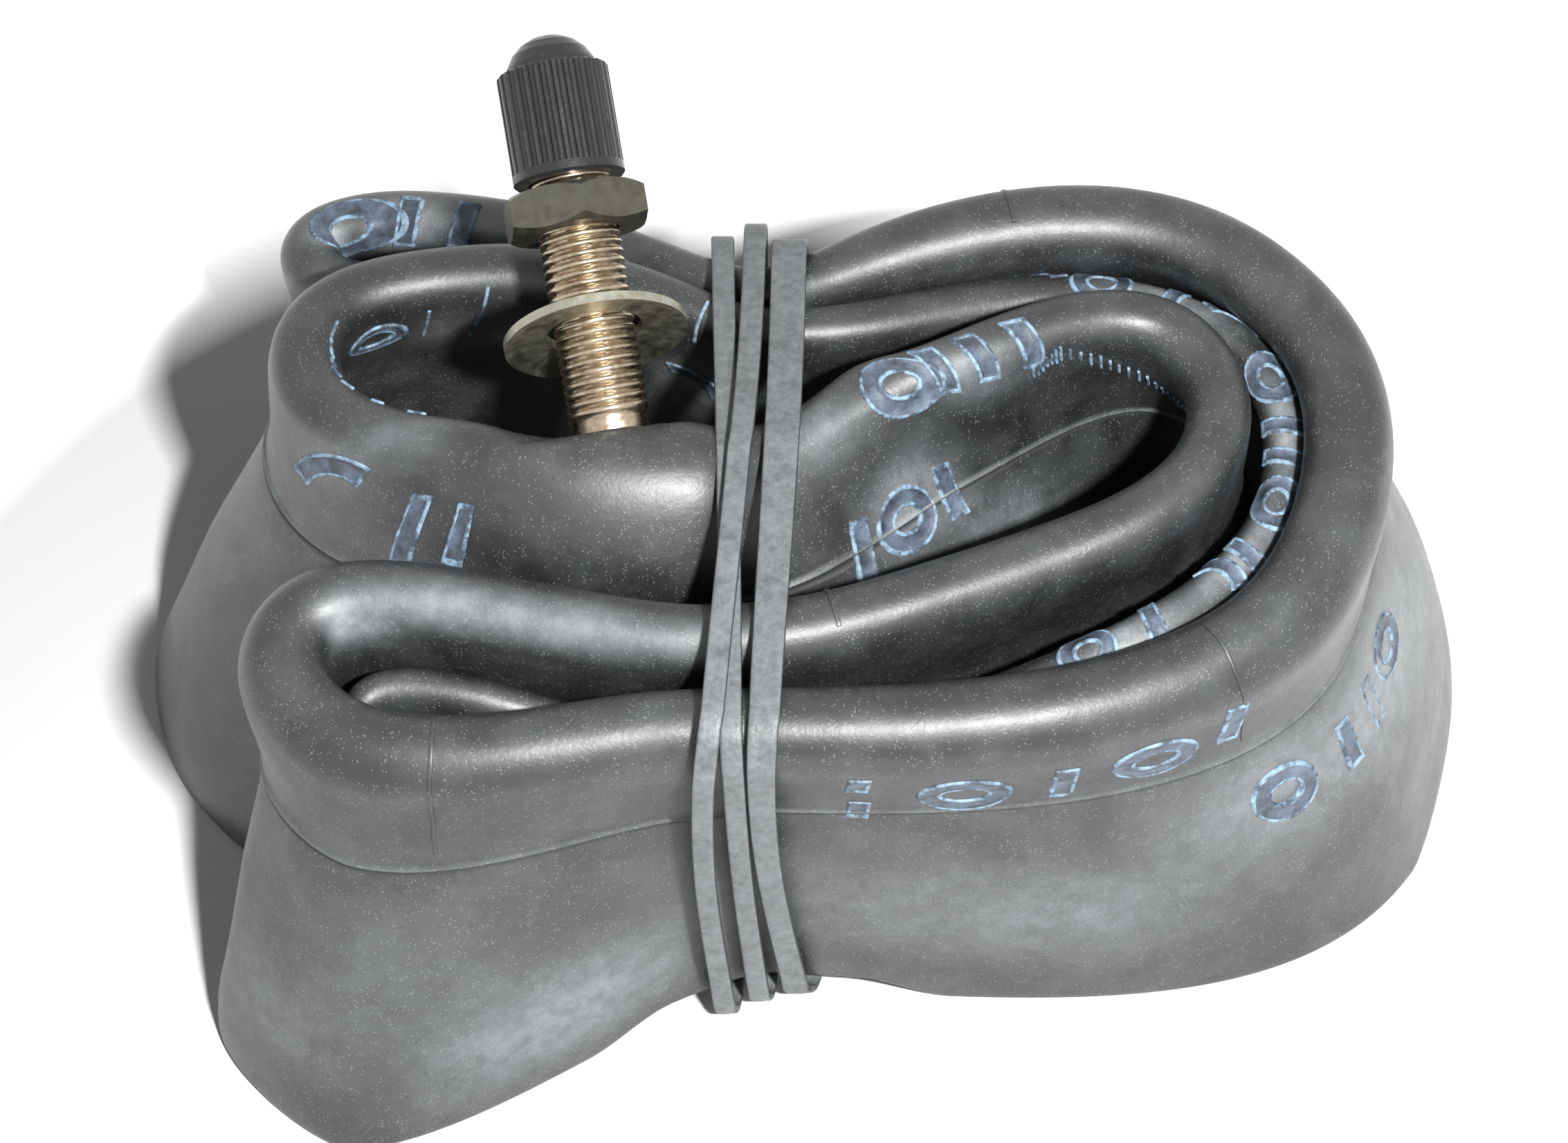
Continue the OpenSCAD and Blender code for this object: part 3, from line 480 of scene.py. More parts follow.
def moulded_rubber(name="moulded_rubber"):
    """Grey-black satin rubber with talc haze and specks; chalk with painted sheen, and the painted shade in the
    seam's groove, come from mesh layers.
    """
    if name in bpy.data.materials:
        return bpy.data.materials[name]
    looks = chosen().tube
    m = Shading(name, roughness=.4)
    haze = m.span(m.noise(38, 4, .6), .38, .68)
    cloud = m.span(m.noise(150, 5, .62, distortion=.4), .42, .72)
    grain = m.noise(3200, 3, .65)
    dark = tuple(looks.rubber_colour)
    light = tuple(c*1.8 + .010 for c in dark)
    talc = tuple(looks.talc_colour)
    base = m.mix(m.math("MULTIPLY", haze, m.span(grain, .35, .65, .2, 1.0)), dark, light)
    base = m.mix(m.math("MULTIPLY", cloud, looks.talc*.10), base, talc)
    # the pale layer is chalk round the marks, plus painted sheen on the broad walls and a painted highlight along
    # the seam's lip, all in the talc colour
    chalk_and_sheen = m.math("MULTIPLY", m.layer("chalk_and_sheen"), m.span(m.noise(420, 4, .7), .25, .72, .3, 1.0), clamp=True)
    base = m.mix(chalk_and_sheen, base, talc)
    fine = m.math("LESS_THAN", m.cells(2600), .24)
    fine = m.math("MULTIPLY", fine, m.math("GREATER_THAN", m.noise(900, 2, .5), .50))
    coarse = m.math("LESS_THAN", m.cells(2300), .13)
    coarse = m.math("MULTIPLY", coarse, m.math("GREATER_THAN", m.noise(330, 2, .5), .58))
    speck = m.math("MAXIMUM", m.math("MULTIPLY", fine, .25), m.math("MULTIPLY", coarse, .42))
    base = m.mix(m.math("MULTIPLY", speck, looks.talc), base, (.78, .80, .80))
    # painted shade: the seam's groove is coloured near-black
    groove = m.layer("groove")
    base = m.mix(groove, base, (.004, .004, .004))
    m.set("Base Color", base)
    rough = m.math("ADD", m.span(m.noise(260, 4, .65), .3, .7, .40, .48), m.math("MULTIPLY", chalk_and_sheen, .2))
    rough = m.math("ADD", rough, m.math("MULTIPLY", groove, .5), clamp=True)
    m.set("Roughness", rough)
    m.set("Specular IOR Level", .85)
    m.bump((m.noise(2600, 3, .6), .16, .00016), (m.noise(420, 4, .6), .08, .0004),
           (m.noise(95, 3, .5), .12, .0011))
    return m.material


def chalk_paint(name="chalked_edge"):
    """Blue-white chalk that is left along the raised edges of the moulded marks."""
    if name in bpy.data.materials:
        return bpy.data.materials[name]
    looks = chosen().marks
    m = Shading(name, roughness=.6)
    worn = m.span(m.noise(650, 4, .7), .40, .60)
    m.set("Base Color", m.mix(worn, tuple(looks.chalk_colour), (.07, .09, .12)))
    m.bump((m.noise(2400, 3, .6), .3, .0002))
    return m.material


def dusted_rubber(name="dusted_mark"):
    """Rubber inside a moulded mark, with chalk rubbed into it."""
    if name in bpy.data.materials:
        return bpy.data.materials[name]
    m = Shading(name, roughness=.5)
    worn = m.span(m.noise(420, 5, .7), .38, .70)
    m.set("Base Color", m.mix(worn, (.045, .055, .070), (.17, .22, .30)))
    m.bump((m.noise(2400, 3, .6), .3, .0002))
    return m.material


def band_rubber(name="talced_band"):
    """Grey stretched rubber with talc on its faces, coloured darker on its sides."""
    if name in bpy.data.materials:
        return bpy.data.materials[name]
    looks = chosen().bands
    m = Shading(name, roughness=.45)
    streak = m.span(m.noise(260, 5, .7), .36, .66)
    fine = m.span(m.noise(1100, 4, .7), .35, .68)
    colour = tuple(looks.band_colour)
    base = m.mix(streak, tuple(c*.6 for c in colour), colour)
    base = m.mix(m.math("MULTIPLY", fine, .45), base, tuple(min(1, c*1.9) for c in colour))
    # the band's sides are coloured a quarter as bright as its faces
    base = m.mix(m.layer("side"), base, tuple(c*.25 for c in colour))
    m.set("Base Color", base)
    m.set("Roughness", m.span(m.noise(500, 3, .6), .3, .7, .36, .56))
    m.bump((m.noise(1500, 4, .7), .28, .0003), (m.noise(300, 3, .6), .22, .0006))
    return m.material


def polished_metal(name, colour, roughness, wear, grain=900):
    """Plated metal with faint wear; wear is the colour that shows where the plating is thin."""
    if name in bpy.data.materials:
        return bpy.data.materials[name]
    m = Shading(name, roughness=roughness, metallic=1.0)
    m.set("Base Color", m.mix(m.span(m.noise(grain, 5, .7), .45, .72), colour, wear))
    m.set("Roughness", m.span(m.noise(grain*1.7, 3, .6), .3, .7, roughness*.8, roughness*1.35))
    m.bump((m.noise(grain*2.2, 3, .6), .12, .00012))
    return m.material


def cap_plastic(name="ribbed_cap_plastic"):
    """Black moulded plastic with a dull shine and faint scuffs."""
    if name in bpy.data.materials:
        return bpy.data.materials[name]
    looks = chosen().valve
    m = Shading(name, roughness=.3)
    m.set("Specular IOR Level", .5)
    scuff = m.span(m.noise(1400, 5, .75), .56, .74)
    colour = tuple(looks.cap_colour)
    m.set("Base Color", m.mix(m.math("MULTIPLY", scuff, .4), colour, tuple(c*3 + .02 for c in colour)))
    m.set("Roughness", m.span(m.noise(800, 3, .6), .3, .7, .26, .38))
    m.bump((m.noise(2600, 3, .6), .16, .00015))
    return m.material


def repaint(node, material):
    """Gives a node of the solid model a better material."""
    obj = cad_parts[node]
    obj.data.materials.clear()
    obj.data.materials.append(material)


# ---- The tube's skin ----
RINGS_PER_ROW = 14
CROWN_COLUMNS = 10
# Columns from the ridge down to the seam, across the seam, down the wall and round the lower edge
SEAM_DROP = 16.0
NEAR_SPAN, NEAR_SHARES = 1.4, (.16, .32, .48, .64, .8, .95)
SEAM_STEPS = (-.8, -.4, -.22, -.05, .12, .34, .75)
LOW_SHARES = (.12, .26, .4, .54, .68, .82, 1)
EDGE_HEIGHTS = (4.4, 2.6, 1.4, .8, .4, .15, 0)
# Lift of the seam's columns, depth of the painted shade in its groove and the painted highlight on its lip
SEAM_LIFT = (.1, .85, 1, -.9, -.5)
SEAM_SHADE = (.45, 1, .7)
SEAM_LIP_HIGHLIGHT = (.12, .22)
# Soft pale patches, chalk and painted sheen: place along the fold and over the skin, reach along and over, strength
CHALK_AND_SHEEN_PATCHES = (
    (87.0, -3, .9, 7, .75), (88.4, -3, .8, 6, .8), (89.5, -2, .7, 5, .35),
    (19.2, -4, .8, 5, .6), (20.1, -2, .8, 4, .5), (21.0, -2, .9, 4, .45), (22.0, -2, .8, 3, .35),
    (38.6, 3, .8, 5, .25), (39.3, 8, .7, 5, .3), (45.4, -15, .5, 7, .5), (43.0, -11, .5, 6, .3),
    (31.6, 5, .8, 6, .35), (32.9, 16, 1.1, 7, .5), (31.9, 26, 1.3, 8, .35),
    (64.5, 0, 1.2, 3, .4), (33.9, 5, 1.0, 6, .3),
    (50.0, 1, 1.2, 2.5, .55), (52.5, 0, 1.3, 2.5, .6), (54.5, 0, 1.2, 2.5, .6), (56.0, 0, .8, 2.5, .5),
    # painted sheen with talc: broad patches down the right end wall and the front walls, where they catch the light
    (9.3, 26, 1.6, 11, .4), (7.9, 28, 1.2, 12, .6), (7.0, 34, 1.2, 12, .5),
    (11.2, 36, 2.0, 12, .3), (13.2, 34, 1.8, 12, .15),
    (14.8, 42, 1.8, 11, .5), (16.2, 30, 2.2, 12, .12), (17.6, 40, 1.6, 9, .3),
)


def chalk_and_sheen_layer(s, t):
    """How much pale colour lies on the skin: chalk, and on the broad walls painted sheen."""
    total = np.zeros_like(s)
    for s0, t0, ds, dt, strength in CHALK_AND_SHEEN_PATCHES:
        gap = np.abs((s - s0 + ROWS/2) % ROWS - ROWS/2)
        total = total + strength*(1 - ease(gap/ds))*(1 - ease(np.abs(t - t0)/dt))
    return np.clip(total, 0, 1)


def dent(s, v, top):
    """Slow in-and-out waves of the flat walls, none near the ridge or the floor."""
    window = ease((top - v - 15)/10)*ease(v/7)
    wave = .34*np.sin(s*2.1 + v*.13) + .26*np.sin(s*3.7 - v*.21 + 1.3) + .22*np.sin(s*.9 + v*.32 + 2.1)
    return window*wave*.42


def build_skin():
    """Points, faces and layers of the skin: rings along the fold, columns from the ridge down both sides."""
    rows = ROWS*RINGS_PER_ROW
    s = np.arange(rows)/RINGS_PER_ROW
    top, r = ridge_of(s)
    neck = top - r
    arc = r*np.pi/2
    seam = arc + (SEAM_DROP - r)
    crown = np.linspace(0, 1, CROWN_COLUMNS)[:, None]*arc
    near = [arc + f*(SEAM_DROP - NEAR_SPAN - r) for f in NEAR_SHARES]
    line = [seam + d for d in SEAM_STEPS]
    low = [seam + SEAM_STEPS[-1] + f*(neck + arc - EDGE_TOP - seam - SEAM_STEPS[-1]) for f in LOW_SHARES]
    edge = [arc + neck - v for v in EDGE_HEIGHTS]
    distances = np.vstack([crown] + [np.array(near + line + low + edge)])
    columns = len(distances)
    lift, shade, lip = np.zeros((3, columns))
    k = CROWN_COLUMNS + len(near)
    lift[k + 1:k + 6] = np.array(SEAM_LIFT)*chosen().tube.seam_height/MM
    # painted shade: the groove's columns below the lip are coloured dark
    shade[k + 3:k + 6] = SEAM_SHADE
    # painted highlight: the seam's upper lip is lightened in the pale layer
    lip[k + 1:k + 3] = SEAM_LIP_HIGHLIGHT
    points, chalk_and_sheen, groove = [], [], []
    # the seam stands on the outer side only
    for side, order in ((1, range(columns)), (-1, range(columns - 1, 0, -1))):
        for j in order:
            t = side*distances[j]
            v, u = skin_section(s, t)
            base = swollen(tube_point(s, v, u + dent(s, v, top)))
            if side > 0 and lift[j]:
                base = base + skin(s, t, lift[j]) - skin_bare(s, t)
            points.append(base)
            chalk_and_sheen.append(np.clip(chalk_and_sheen_layer(s, t) + (lip[j] if side > 0 else 0), 0, 1))
            groove.append(np.full(rows, shade[j] if side > 0 else 0.0))
    layers = {"chalk_and_sheen": np.stack(chalk_and_sheen, 1).ravel(), "groove": np.stack(groove, 1).ravel()}
    return np.stack(points, 1).reshape(-1, 3), grid_faces(rows, len(points), flip=True), layers


def soft_rubber(name, colour):
    """Plain moulded rubber for the small seals."""
    if name in bpy.data.materials:
        return bpy.data.materials[name]
    m = Shading(name, roughness=.5)
    pale = tuple(c*1.6 + .01 for c in colour)
    m.set("Base Color", m.mix(m.span(m.noise(900, 4, .7), .4, .7), colour, pale))
    m.bump((m.noise(2400, 3, .6), .2, .0002))
    return m.material


def band_piece(name, belt, lengths, f, x, level, width):
    """A closed band along the belt; x is its sideways run and level its height over the belt."""
    rings, side = band_rings(belt, lengths, f, x, level, width)
    rows, cols = rings.shape[:2]
    obj = mesh_object(name, rings.reshape(-1, 3), grid_faces(rows, cols), band_rubber(),
                      layers={"side": np.tile(side, rows)})
    face_outward(obj)
    return obj


# ---- White studio: camera, key light and floor, in metres ----
CAMERA_AT = (-.00217, -.16362, .28567)
CAMERA_AIM = (-.00217, -.01058, .05)
LENS = 68.31
KEY_AT = (.064, -.156, .2857)
KEY_AIM = (0, 0, .03)
KEY_SIZE = (.022, .014)
FLOOR_HALF = 4.0
FLOOR_DROP = .00005
# The floor glows to white for the eye between two distances from a point beside the middle: painted light that
# washes out the object's shadow further out
SHADE_MIDDLE = (-.020, -.012, 0)
SHADE_END, WHITE_START = .083, .097
SHADE_LIFT = .02


def aimed(obj, place, target):
    """Places a camera or lamp and turns it towards a target."""
    obj.location = place
    obj.rotation_euler = (Vector(target) - Vector(place)).to_track_quat("-Z", "Y").to_euler()
    return obj


def softbox(name, place, target, size, power):
    light = bpy.data.lights.new(name, "AREA")
    light.shape = "RECTANGLE"
    light.size, light.size_y = size
    light.energy = power
    obj = bpy.data.objects.new(name, light)
    bpy.context.scene.collection.objects.link(obj)
    return aimed(obj, place, target)


def seen_directly(tree):
    """1 for camera, glossy and transmission rays."""
    path = tree.nodes.new("ShaderNodeLightPath")
    total = path.outputs["Is Camera Ray"]
    for name in ("Is Glossy Ray", "Is Transmission Ray"):
        node = tree.nodes.new("ShaderNodeMath")
        node.operation = "MAXIMUM"
        tree.links.new(total, node.inputs[0])
        tree.links.new(path.outputs[name], node.inputs[1])
        total = node.outputs[0]
    return total


def lay_floor(colour):
    """White floor that keeps the shadow beside the tube and is lifted to white for the eye further out."""
    mesh = bpy.data.meshes.new("floor")
    corners = [(x*FLOOR_HALF, y*FLOOR_HALF, -FLOOR_DROP) for x, y in ((-1, -1), (1, -1), (1, 1), (-1, 1))]
    mesh.from_pydata(corners, [], [(0, 1, 2, 3)])
    floor = bpy.data.objects.new("floor", mesh)
    bpy.context.scene.collection.objects.link(floor)
    m = Shading("white_floor", colour, .9)
    m.set("Specular IOR Level", .0)
    glow = m.add("ShaderNodeEmission")
    m.feed(glow.inputs["Color"], (1, 1, 1))
    reach = m.add("ShaderNodeVectorMath", operation="DISTANCE")
    m.feed(reach.inputs[0], m.place)
    reach.inputs[1].default_value = SHADE_MIDDLE
    far_floor_glow = m.span(reach.outputs["Value"], SHADE_END, WHITE_START, SHADE_LIFT, 1.0)
    m.feed(glow.inputs["Strength"], m.math("MULTIPLY", seen_directly(m.tree), far_floor_glow))
    both = m.add("ShaderNodeAddShader")
    m.feed(both.inputs[0], m.shader.outputs[0])
    m.feed(both.inputs[1], glow.outputs[0])
    m.feed(m.tree.nodes["Material Output"].inputs["Surface"], both.outputs[0])
    mesh.materials.append(m.material)


def light_room(strength):
    """Even light from all sides, which looks white where it is seen."""
    world = bpy.data.worlds.new("white_room")
    world.use_nodes = True
    tree = world.node_tree
    back = tree.nodes["Background"]
    back.inputs["Color"].default_value = (1, 1, 1, 1)
    level = tree.nodes.new("ShaderNodeMix")
    level.data_type = "FLOAT"
    tree.links.new(seen_directly(tree), level.inputs[0])
    level.inputs[2].default_value = strength
    level.inputs[3].default_value = 1.0
    tree.links.new(level.outputs[0], back.inputs["Strength"])
    bpy.context.scene.world = world


def set_camera():
    scene = bpy.context.scene
    camera = bpy.data.cameras.new("camera")
    camera.sensor_width = 36
    camera.sensor_fit = "HORIZONTAL"
    camera.lens = LENS
    camera.clip_start, camera.clip_end = .01, 20
    camera.dof.use_dof = False
    obj = bpy.data.objects.new("camera", camera)
    scene.collection.objects.link(obj)
    scene.camera = aimed(obj, CAMERA_AT, CAMERA_AIM)
    scene.view_settings.view_transform = "Standard"


# ---- Marks, moulding flash and splices on the skin ----
SUNK = -.06
ROOT = -.35
LINE_STEP = .45
END_GAP = .12


def stroke_section(half, lip, fill, edge):
    """Section of a stroke, [sideways, height]: two lips and a filled middle, or one lip where half is 0."""
    if not half:
        return [(-edge/2, SUNK), (-edge/2 + .07, lip*.7), (0, lip), (edge/2 - .07, lip*.7), (edge/2, SUNK)]
    left = [(-half - edge, SUNK), (-half - edge + .09, lip*.75), (-half - edge/2, lip), (-half, lip*.85),
            (-half + .12, fill)]
    return left + [(0, fill)] + [(-o, h) for o, h in left[::-1]]


def stroke_stations(total, edge, closed):
    """Places along a stroke and what each is: its body, the lip that closes its end, or the end's sunk rim."""
    count = max(4, int(total/LINE_STEP))
    if closed:
        return [(d, "body") for d in np.linspace(0, total, count, endpoint=False)]
    start = [(-edge, "sunk"), (-edge + .09, "lip"), (-edge/2, "lip"), (0, "lip")]
    body = [(d, "body") for d in np.linspace(END_GAP, total - END_GAP, count)]
    return start + body + [(total - d, kind) for d, kind in start[::-1]]


class Lines:
    """Raised lines on the skin, gathered into one mesh."""

    def __init__(self):
        self.points, self.faces, self.kinds = [], [], []

    def draw(self, place, angle, line, half, closed=False, lip=.2, fill=.07, edge=.45):
        """A raised stroke; line is in millimetres round place, half is half of its width, 0 for a bare lip."""
        line = np.asarray(line, float)
        path = np.vstack((line, line[:1])) if closed else line
        lengths = np.concatenate(([0], np.cumsum(np.hypot(*np.diff(path, axis=0).T))))
        total = lengths[-1]
        across = stroke_section(half, lip, fill, edge)
        rings = []
        for d, kind in stroke_stations(total, edge, closed):
            c = np.clip(d, 0, total)
            k = int(np.clip(np.searchsorted(lengths, c, side="right") - 1, 0, len(path) - 2))
            f = (c - lengths[k])/(lengths[k + 1] - lengths[k])
            p = path[k]*(1 - f) + path[k + 1]*f
            u = (path[k + 1] - path[k])/(lengths[k + 1] - lengths[k])
            if closed or 0 < k < len(path) - 2:
                # the way along the line turns smoothly from one step to the next
                before = path[k] - path[(k - 1) if k else -2]
                after = path[(k + 2) if k + 2 < len(path) else 1] - path[k + 1]
                u = (1 - f)*(u + before/np.hypot(*before)) + f*(u + after/np.hypot(*after))
                u = u/np.hypot(*u)
            p = p + u*(d - c)
            row = []
            for o, h in across:
                if kind == "sunk":
                    h = SUNK
                elif kind == "lip" and h > 0:
                    h = max(h, lip*.85)
                row.append((p[0] - u[1]*o, p[1] + u[0]*o, h))
            rings.append(row + [(*row[-1][:2], ROOT), (*row[0][:2], ROOT)])
        self.lay(np.array(rings), place, math.radians(angle))
        self.join(np.shape(rings)[:2], closed, half, len(across))

    def lay(self, rings, place, a):
        """Turns the rings by a about place and lays them on the skin."""
        s0, t0 = place
        ahead, behind = (skin_bare(np.array(s0 + d), np.array(float(t0))) for d in (.5, -.5))
        row_length = np.linalg.norm(ahead - behind)
        x = rings[..., 0]*math.cos(a) - rings[..., 1]*math.sin(a)
        y = rings[..., 0]*math.sin(a) + rings[..., 1]*math.cos(a)
        self.points.extend(skin(s0 + x/row_length, t0 + y, rings[..., 2]).reshape(-1, 3))

    def join(self, shape, closed, half, across):
        """Faces between the rings laid last; those of a filled middle are of the second kind."""
        rows, cols = shape
        start = len(self.points) - rows*cols
        for i in range(rows if closed else rows - 1):
            for j in range(cols):
                a, b = i*cols + j, i*cols + (j + 1) % cols
                c, d = (i + 1) % rows*cols + (j + 1) % cols, (i + 1) % rows*cols + j
                self.faces.append((start + a, start + b, start + c, start + d))
                filled = half and 3 <= j < across - 4 and (closed or 4 <= i < rows - 5)
                self.kinds.append(1 if filled else 0)
        if not closed:
            self.faces.append(tuple(start + j for j in range(cols))[::-1])
            self.faces.append(tuple(start + (rows - 1)*cols + j for j in range(cols)))
            self.kinds.extend((0, 0))

    def build(self, name, *materials):
        obj = mesh_object(name, self.points, self.faces, *materials)
        if len(materials) > 1:
            obj.data.polygons.foreach_set("material_index", self.kinds)
        face_outward(obj)
        obj.data.set_sharp_from_angle(angle=math.radians(50))
        return obj


def bar(length):
    return [(x, 0) for x in np.linspace(-length/2, length/2, 5)]


def arc(radius, half_angle, steps=15):
    turns = np.radians(np.linspace(-half_angle, half_angle, steps))
    return [(radius*math.cos(a), radius*math.sin(a)) for a in turns]


def ring(radius, squash=1.0, steps=28):
    return [(radius*math.cos(a), radius*squash*math.sin(a)) for a in np.arange(steps)*2*math.pi/steps]


# Plain shapes where a tube carries moulded words: kind, place along the fold and over the skin, turn in degrees,
# size, half width
MARKS = (
    ("ring", (87.5, -2.5), 0, 3.1, .85), ("bar", (88.55, -2.3), 86, 5.6, .85), ("bar", (89.2, -2.3), 84, 5.0, .8),
    ("ring", (42.2, -9.5), 0, 2.5, .35), ("thin", (42.85, -8.5), 88, 5.0, 0), ("thin", (43.4, -8.0), 80, 9.0, 0),
    ("thin", (45.56, -2.5), 85, 4.6, 0), ("arc", (45.38, -16.5), 60, 2.6, .5),
    ("arc", (39.1, 13.2), -70, 3.6, .95), ("bar", (38.15, 13.0), 86, 5.6, .85), ("bar", (37.6, 12.8), 86, 4.0, .7),
    ("ring", (32.5, 4.2), 0, 2.9, .8), ("bar", (31.85, 3.6), 82, 5.6, .8), ("bar", (31.4, 3.6), 82, 5.6, .8),
    ("bar", (30.95, 3.8), 82, 5.6, .8),
    ("bar", (33.75, 18.2), 86, 5.6, .8), ("ring", (33.1, 17.8), 0, 2.7, .7), ("bar", (32.4, 17.6), 86, 5.4, .75),
    ("arc", (48.5, 1.2), 60, 2.2, .6), ("ring", (49.2, .8), 0, 2.3, .6), ("bar", (49.95, .4), 84, 4.6, .6),
    ("arc", (50.7, .2), 100, 2.4, .6), ("ring", (51.6, 0), 0, 2.3, .6), ("bar", (52.4, -.2), 84, 4.6, .6),
    ("bar", (52.9, -.2), 84, 4.6, .6), ("ring", (53.6, 0), 0, 2.3, .6), ("bar", (54.4, .2), 86, 4.4, .6),
    ("arc", (55.1, .2), 200, 2.3, .6), ("bar", (55.8, .2), 80, 4.4, .6), ("ring", (56.5, .1), 0, 2.1, .55),
    ("bar", (12.3, 10.5), 84, 2.6, .7), ("bar", (12.3, 17.5), 84, 2.6, .7), ("ring", (11.6, 14.2), 0, 3.4, .8),
    ("bar", (10.95, 13.6), 84, 6.4, .8), ("ring", (10.3, 12.4), 0, 3.3, .75), ("bar", (9.7, 10.6), 80, 6.0, .75),
    ("ring", (9.4, 26.5), 0, 2.9, .7), ("bar", (8.75, 27.0), 86, 5.4, .7), ("bar", (8.35, 27.0), 86, 5.4, .65),
    ("ring", (7.85, 26.2), 0, 2.6, .6),
)
# Ragged moulding flash: path of places, count of dashes, their turn in degrees and their length
FLASH = (
    (((31, 7.5), (30.7, 6), (30, 10), (29, 13), (28.2, 12)), 26, 90, 1.1),
    (((41.2, -3), (40.5, -3.3), (40, -2.7), (38.8, -1.8)), 8, 8, .9),
)
# Splices across the ridge: places along the fold, middle and half length over the skin
SPLICES = (2.3, 9.6, 15.8, 23.1)
SPLICE_MIDDLE = 7.0
SPLICE_HALF = 8.5


def plain_marks():
    lines = Lines()
    for kind, place, turn, size, half in MARKS:
        if kind == "ring":
            lines.draw(place, turn, ring(size, .86), half, closed=True)
        elif kind == "arc":
            lines.draw(place, turn, arc(size*1.5, 48), half)
        elif kind == "thin":
            lines.draw(place, turn, bar(size), 0, lip=.16)
        else:
            lines.draw(place, turn, bar(size), half)
    for path, count, turn, size in FLASH:
        steps = range(len(path))
        along, over = np.array(path).T
        for f in np.linspace(0, len(path) - 1, count):
            dash = bar(size*(.8 + .3*math.sin(f*9)))
            lines.draw((np.interp(f, steps, along), np.interp(f, steps, over)), turn, dash, 0, lip=.22, edge=.4)
    return lines


def splice_lines():
    lines = Lines()
    ripple = [(x, .06*math.sin(x*.7)) for x in np.linspace(-SPLICE_HALF, SPLICE_HALF, 18)]
    for s in SPLICES:
        lines.draw((s, SPLICE_MIDDLE), 90, ripple, 0, lip=.16, edge=.5)
    return lines


# ---- Valve stem with its thread, and the rubber collar round its root ----
SIDES = 72
STEM_RADIUS = 4.0
STEM_LENGTH = 36.0
STEM_FOOT = -1.4
ROOT_RADIUS = 3.65
ROOT_LENGTH = 2.4
TIP_BEVEL = .4
PASSAGE_RADIUS = 1.95
CORE_RADIUS = 2.64
CORE_FLOOR, PASSAGE_TOP = 30.7, 28.9
STEPS_PER_TURN = 10
COLLAR = ((1.95, -1.6), (3.9, -1.6), (4.12, -1.2), (4.18, -.4), (4.12, .3), (4.0, .75), (3.85, 1.0), (3.73, .98),
          (3.67, .8), (3.67, -1.4), (1.95, -1.42))


def at_valve(points):
    """Points of the valve's own frame, z along the stem, in the part's frame."""
    lean, yaw = math.radians(-VALVE_LEAN), math.radians(VALVE_YAW)
    p = np.asarray(points, float)
    y = p[..., 1]*math.cos(lean) - p[..., 2]*math.sin(lean)
    z = p[..., 1]*math.sin(lean) + p[..., 2]*math.cos(lean)
    x, y = p[..., 0]*math.cos(yaw) - y*math.sin(yaw), p[..., 0]*math.sin(yaw) + y*math.cos(yaw)
    return np.stack((x, y, z), -1) + VALVE_FOOT


def turned(profile):
    """Points and faces of a closed profile, [radius, height], turned round the stem; a radius may vary by side."""
    a = np.arange(SIDES)*2*math.pi/SIDES
    p = np.array([np.stack((r*np.cos(a), r*np.sin(a), np.full(SIDES, z)), -1) for r, z in profile])
    return at_valve(p).reshape(-1, 3), grid_faces(len(profile), SIDES)


def threaded_stem(pitch, depth):
    """Profile of the stem from its smooth root up over the thread and down the passage, radius by side."""
    tip = STEM_LENGTH - TIP_BEVEL
    profile = [(3.2, STEM_FOOT), (ROOT_RADIUS, STEM_FOOT), (ROOT_RADIUS, ROOT_LENGTH - .2),
               (ROOT_RADIUS + .05, ROOT_LENGTH)]
    for z in np.arange(ROOT_LENGTH + .2, tip, pitch/STEPS_PER_TURN):
        turn = (z/pitch - np.arange(SIDES)/SIDES) % 1
        shape = np.clip((1 - np.abs(turn*2 - 1))*1.35, 0, 1)
        shape = shape*shape*(3 - 2*shape)*.35 + shape*.65
        fade = ease((z - ROOT_LENGTH - .1)/.9)*ease((tip + .25 - z)/.7)
        crest = STEM_RADIUS - (1 - ease((z - ROOT_LENGTH)/.5))*(STEM_RADIUS - ROOT_RADIUS)
        profile.append((crest - depth*(1 - shape)*fade, z))
    return profile + [
        (STEM_RADIUS - .05, tip), (STEM_RADIUS - TIP_BEVEL, STEM_LENGTH - .04),
        (STEM_RADIUS - TIP_BEVEL - .06, STEM_LENGTH), (CORE_RADIUS + .11, STEM_LENGTH),
        (CORE_RADIUS, STEM_LENGTH - .12), (CORE_RADIUS, CORE_FLOOR), (CORE_RADIUS, CORE_FLOOR),
        (PASSAGE_RADIUS, PASSAGE_TOP), (PASSAGE_RADIUS, STEM_FOOT)]


# ---- Setting up the pieces ----
def place_piece(obj, body, slot, *nodes):
    """Makes a piece ride on a body in place of nodes of the solid model, which it hides; slot is not used."""
    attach(obj, body)
    if nodes:
        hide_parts(*nodes)
    return obj


class TubeLooks(bpy.types.PropertyGroup):
    rubber_colour: FloatVectorProperty(name="Rubber", description="Colour of the bare rubber", subtype="COLOR",
                                       size=3, min=0, max=1, default=(.016, .0175, .018))
    talc_colour: FloatVectorProperty(name="Talc", description="Colour of the talc that dusts the rubber",
                                     subtype="COLOR", size=3, min=0, max=1, default=(.56, .60, .62))
    talc: FloatProperty(name="Talc haze", description="How much talc lies on the rubber", subtype="FACTOR",
                        min=0, max=1, default=.6)
    seam_height: FloatProperty(name="Seam height", description="How far the moulded seam stands out",
                               subtype="DISTANCE", unit="LENGTH", min=0, max=.001, default=.00024)


class MarkLooks(bpy.types.PropertyGroup):
    chalk_colour: FloatVectorProperty(name="Chalk", description="Colour of the chalk on the marks' edges",
                                      subtype="COLOR", size=3, min=0, max=1, default=(.34, .50, .66))


